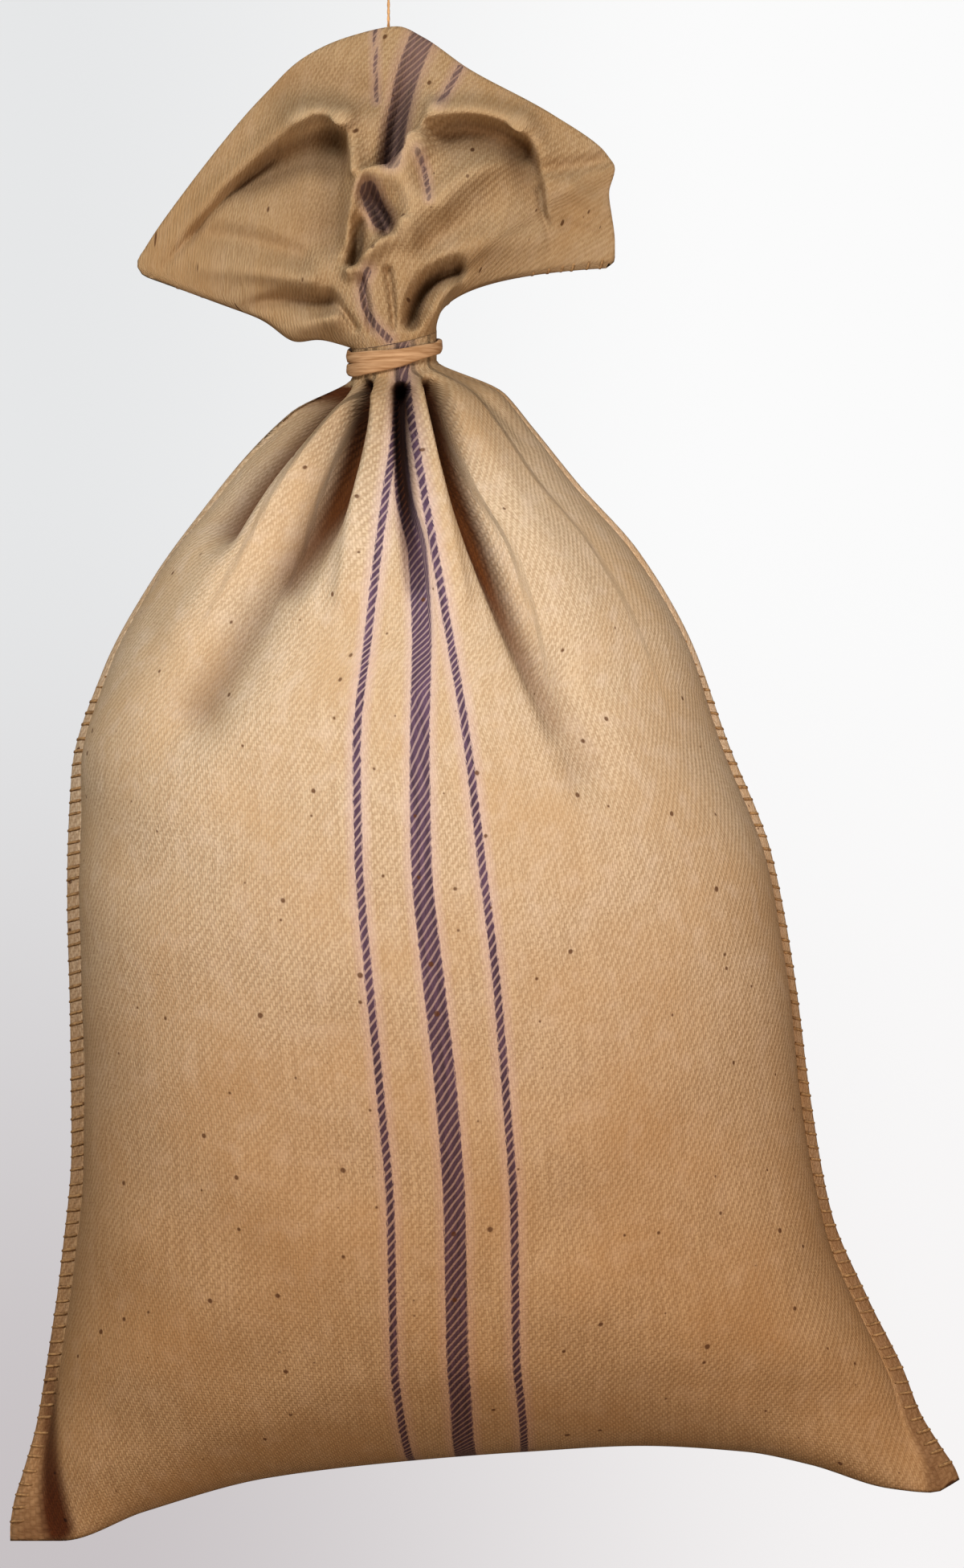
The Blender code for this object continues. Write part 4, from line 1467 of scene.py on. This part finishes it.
@dataclass
class HangString:
    """The taut two-ply twine from inside the hem to its knotted loop."""

    yarn: Yarn
    foot: float = -52.0
    head: float = -18.3
    radius: float = 1.0
    lay: float = 5.0
    loop_radius: float = 7.0
    knot_radius: float = 2.5
    knot_gap: float = 0.3
    knot_turns: float = 2.6
    coil_radius: float = 1.5
    coil_half_height: float = 1.6
    sides: int = 12

    def twisted(self, path: Array, near: Array, closed: bool) -> tuple[Array, list[list[int]]]:
        """Sweeps two plies along a path: r = R (0.72 + 0.28 |cos(a - w s)|).

        Args:
            path: (steps, 3) centre line.
            near: (steps, 3) directions across it.
            closed: Whether it comes back to its start.

        Returns:
            The points and the faces.
        """
        beyond = np.roll(path, -1, axis=0) - np.roll(path, 1, axis=0)
        along = unit(beyond if closed else np.gradient(path, axis=0))
        first = unit(square_to(along, near))
        second = np.cross(along, first)
        spans = np.linalg.norm(np.diff(path, axis=0), axis=1)
        run = np.concatenate([[0], np.cumsum(spans)])
        turns = round((run[-1] + (spans[-1] if closed else 0)) / self.lay)
        wind = 2 * math.pi * turns * np.arange(len(path))[:, None] / len(path)
        angle = np.linspace(0, 2 * math.pi, self.sides, endpoint=False)[None, :]
        radius = self.radius * (0.72 + 0.28 * np.abs(np.cos(angle - wind / 2 * (2 if closed else 1))))
        ring = first[:, None] * np.cos(angle)[..., None] + second[:, None] * np.sin(angle)[..., None]
        points = path[:, None] + ring * radius[..., None]
        index = np.arange(len(path) * self.sides).reshape(len(path), self.sides)
        rows = np.concatenate([index, index[:1]]) if closed else index
        caps = [] if closed else [index[0, ::-1].tolist(), index[-1].tolist()]
        return points.reshape(-1, 3), [*quads(rows, np.roll(rows, -1, axis=1)).tolist(), *caps]

    def build(self) -> Piece:
        """Builds the loop with its knot, and the string as a twisted cord.

        Returns:
            The string.
        """
        finish = self.yarn.material()
        turn = np.linspace(0, 2 * math.pi, 96, endpoint=False)
        centre = -(self.loop_radius - self.radius)
        ring = np.stack([np.sin(turn), 0 * turn, -np.cos(turn)], -1) * self.loop_radius + [0, 0, centre]
        loop, loop_faces = self.twisted(ring, np.broadcast_to([0.0, 1.0, 0.0], ring.shape), True)
        wraps = np.linspace(0, 1, 60)
        middle = self.head + self.knot_gap + self.knot_radius
        wound = self.knot_turns * 2 * math.pi * wraps
        coil = np.stack([
            self.coil_radius * np.cos(wound),
            self.coil_radius * np.sin(wound),
            middle + self.coil_half_height * (wraps * 2 - 1),
        ], -1)
        knot, knot_faces = self.twisted(coil, np.broadcast_to([0.0, 0.0, 1.0], coil.shape), False)
        faces = [*loop_faces, *[[i + len(loop) for i in face] for face in knot_faces]]
        held = mesh_piece("string_loop_knotted", np.concatenate([loop, knot]), faces, finish,
                          ("string_loop",))
        levels = np.linspace(self.foot, self.head, 70)
        path = np.stack([0 * levels, 0 * levels, levels], -1)
        points, faces = self.twisted(path, np.broadcast_to([1.0, 0.0, 0.0], path.shape), False)
        made = mesh_piece("hang_string_twisted", points, faces, finish, ("hang_string",))
        return made


@dataclass
class Studio:
    """The camera, the pale backdrop with its floor, and the soft light."""

    aim: Triple = (0.064, 0.0, -0.556)
    distance: float = 3.8
    frame_height: float = 1.073
    wall: float = 14.0
    floor_z: float = -4.5
    bend: float = 1.4
    sides: int = 72
    sensor: float = 36.0

    def camera(self) -> None:
        """Places the camera level in front, as far as the photo's scale asks."""
        data = bpy.data.cameras.new("camera")
        data.sensor_width = self.sensor
        data.lens = self.sensor * self.distance / self.frame_height
        made = bpy.data.objects.new("camera", data)
        made.location = (self.aim[0], self.aim[1] - self.distance, self.aim[2])
        made.rotation_euler = (math.pi / 2, 0.0, 0.0)
        bpy.context.scene.collection.objects.link(made)
        bpy.context.scene.camera = made

    def backdrop(self) -> None:
        """Sets up one pale sheet all round: a floor that bends up into a wall."""
        # White paper that glows by itself instead of being lit, with painted light and shade: nearly white
        # at the upper right, greyer to the lower left.
        made, g, shader = new_material("white paper backdrop")
        split = g.add("SeparateXYZ", g.add("TexCoord", out="Object"))
        ends = ((split, -1.44, 1.65), (split, -1.44, 0.92), (split.node.outputs[2], -3.08, 0.55))
        lower, upper, upward = (g.ramp(*end, kind="SMOOTHSTEP") for end in ends)
        low = g.mix(lower, linear("C7C1C3"), linear("F6F4F4"))
        high = g.mix(upper, linear("E6E7E8"), linear("FBFBFB"))
        colour = g.mix(upward, low, high)
        shader.inputs["Base Color"].default_value = (0.0, 0.0, 0.0, 1.0)
        shader.inputs["Specular IOR Level"].default_value = 0.0
        made.node_tree.links.new(colour, shader.inputs["Emission Color"])
        shader.inputs["Emission Strength"].default_value = 1.0
        arc = np.linspace(0, math.pi / 2, 17)
        out = np.concatenate([[0.2], self.wall - self.bend * (1 - np.sin(arc)), [self.wall]])
        up = np.concatenate([[0.0], self.bend * (1 - np.cos(arc)), [self.wall]]) + self.floor_z
        turn = np.linspace(0, 2 * math.pi, self.sides, endpoint=False)
        rings = (np.cos(turn), np.sin(turn), np.ones(self.sides))
        grid = np.stack([np.outer(reach, ring) for reach, ring in zip((out, out, up), rings)], -1)
        index = np.arange(len(out) * self.sides).reshape(-1, self.sides)
        faces = quads(index, np.roll(index, -1, axis=1))[:, ::-1].tolist()
        mesh = bpy.data.meshes.new("backdrop")
        mesh.from_pydata(grid.reshape(-1, 3).tolist(), [], [*faces, index[0].tolist()])
        mesh.shade_smooth()
        mesh.materials.append(made)
        sheet = bpy.data.objects.new("backdrop", mesh)
        bpy.context.scene.collection.objects.link(sheet)
        sheet.visible_diffuse = False
        sheet.visible_glossy = False

    def light(self, name: str, place: Triple, size: float, power: float, colour: str) -> None:
        """Adds one square soft box aimed at the sack.

        Args:
            name: The light's name.
            place: Where it stands.
            size: Its side in metres.
            power: Its power in watts.
            colour: Its colour code.
        """
        data = bpy.data.lights.new(name, "AREA")
        data.shape = "SQUARE"
        data.size = size
        data.energy = power
        data.color = linear(colour)[:3]
        made = bpy.data.objects.new(name, data)
        made.location = place
        made.rotation_euler = (Vector(self.aim) - Vector(place)).to_track_quat("-Z", "Y").to_euler()
        made.visible_camera = False
        bpy.context.scene.collection.objects.link(made)

    def build(self) -> None:
        """Sets up everything that isn't part of the sack."""
        self.camera()
        self.backdrop()
        for row in (
            ("key", (-0.3, -1.95, 0.75), 0.6, 50.0, "F6FAFF"),
            ("fill", (1.1, -2.2, -1.15), 1.4, 42.0, "FFEADA"),
            ("left", (-1.7, -1.0, -0.8), 1.0, 7.0, "FFF4E6"),
            ("back", (0.7, 2.6, 0.5), 1.5, 26.0, "FFF4E6"),
        ):
            self.light(*row)
        world = bpy.data.worlds.new("studio")
        world.use_nodes = True
        sky = world.node_tree.nodes["Background"]
        sky.inputs["Color"].default_value = linear("F0DCC4")
        sky.inputs["Strength"].default_value = 0.14
        bpy.context.scene.world = world
        bpy.context.scene.view_settings.view_transform = "Standard"


def main() -> None:
    """Builds the studio and the sack's pieces in order."""
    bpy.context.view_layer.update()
    Studio().build()
    neck = Neck()
    tie_yarn = Yarn("flat jute strand", "BC946C", "8E6640", (60.0, 60.0, 900.0))
    seam_yarn = Yarn("jute seam yarn", "A88255", "6A4B2C", (500.0, 500.0, 500.0))
    twine = Yarn("tan jute twine", "D9A66E", "9C6C3E", (700.0, 700.0, 260.0))
    string = HangString(twine).build()
    LOG.info("made %s", string.name)
    cloth = SackCloth(neck)
    LOG.info("made %s", cloth.build().name)
    for maker in (SeamStitches(cloth, True, seam_yarn), SeamStitches(cloth, False, seam_yarn),
                  NeckTie(neck, tie_yarn)):
        LOG.info("made %s", maker.build().name)


if __name__ == "__main__":
    main()
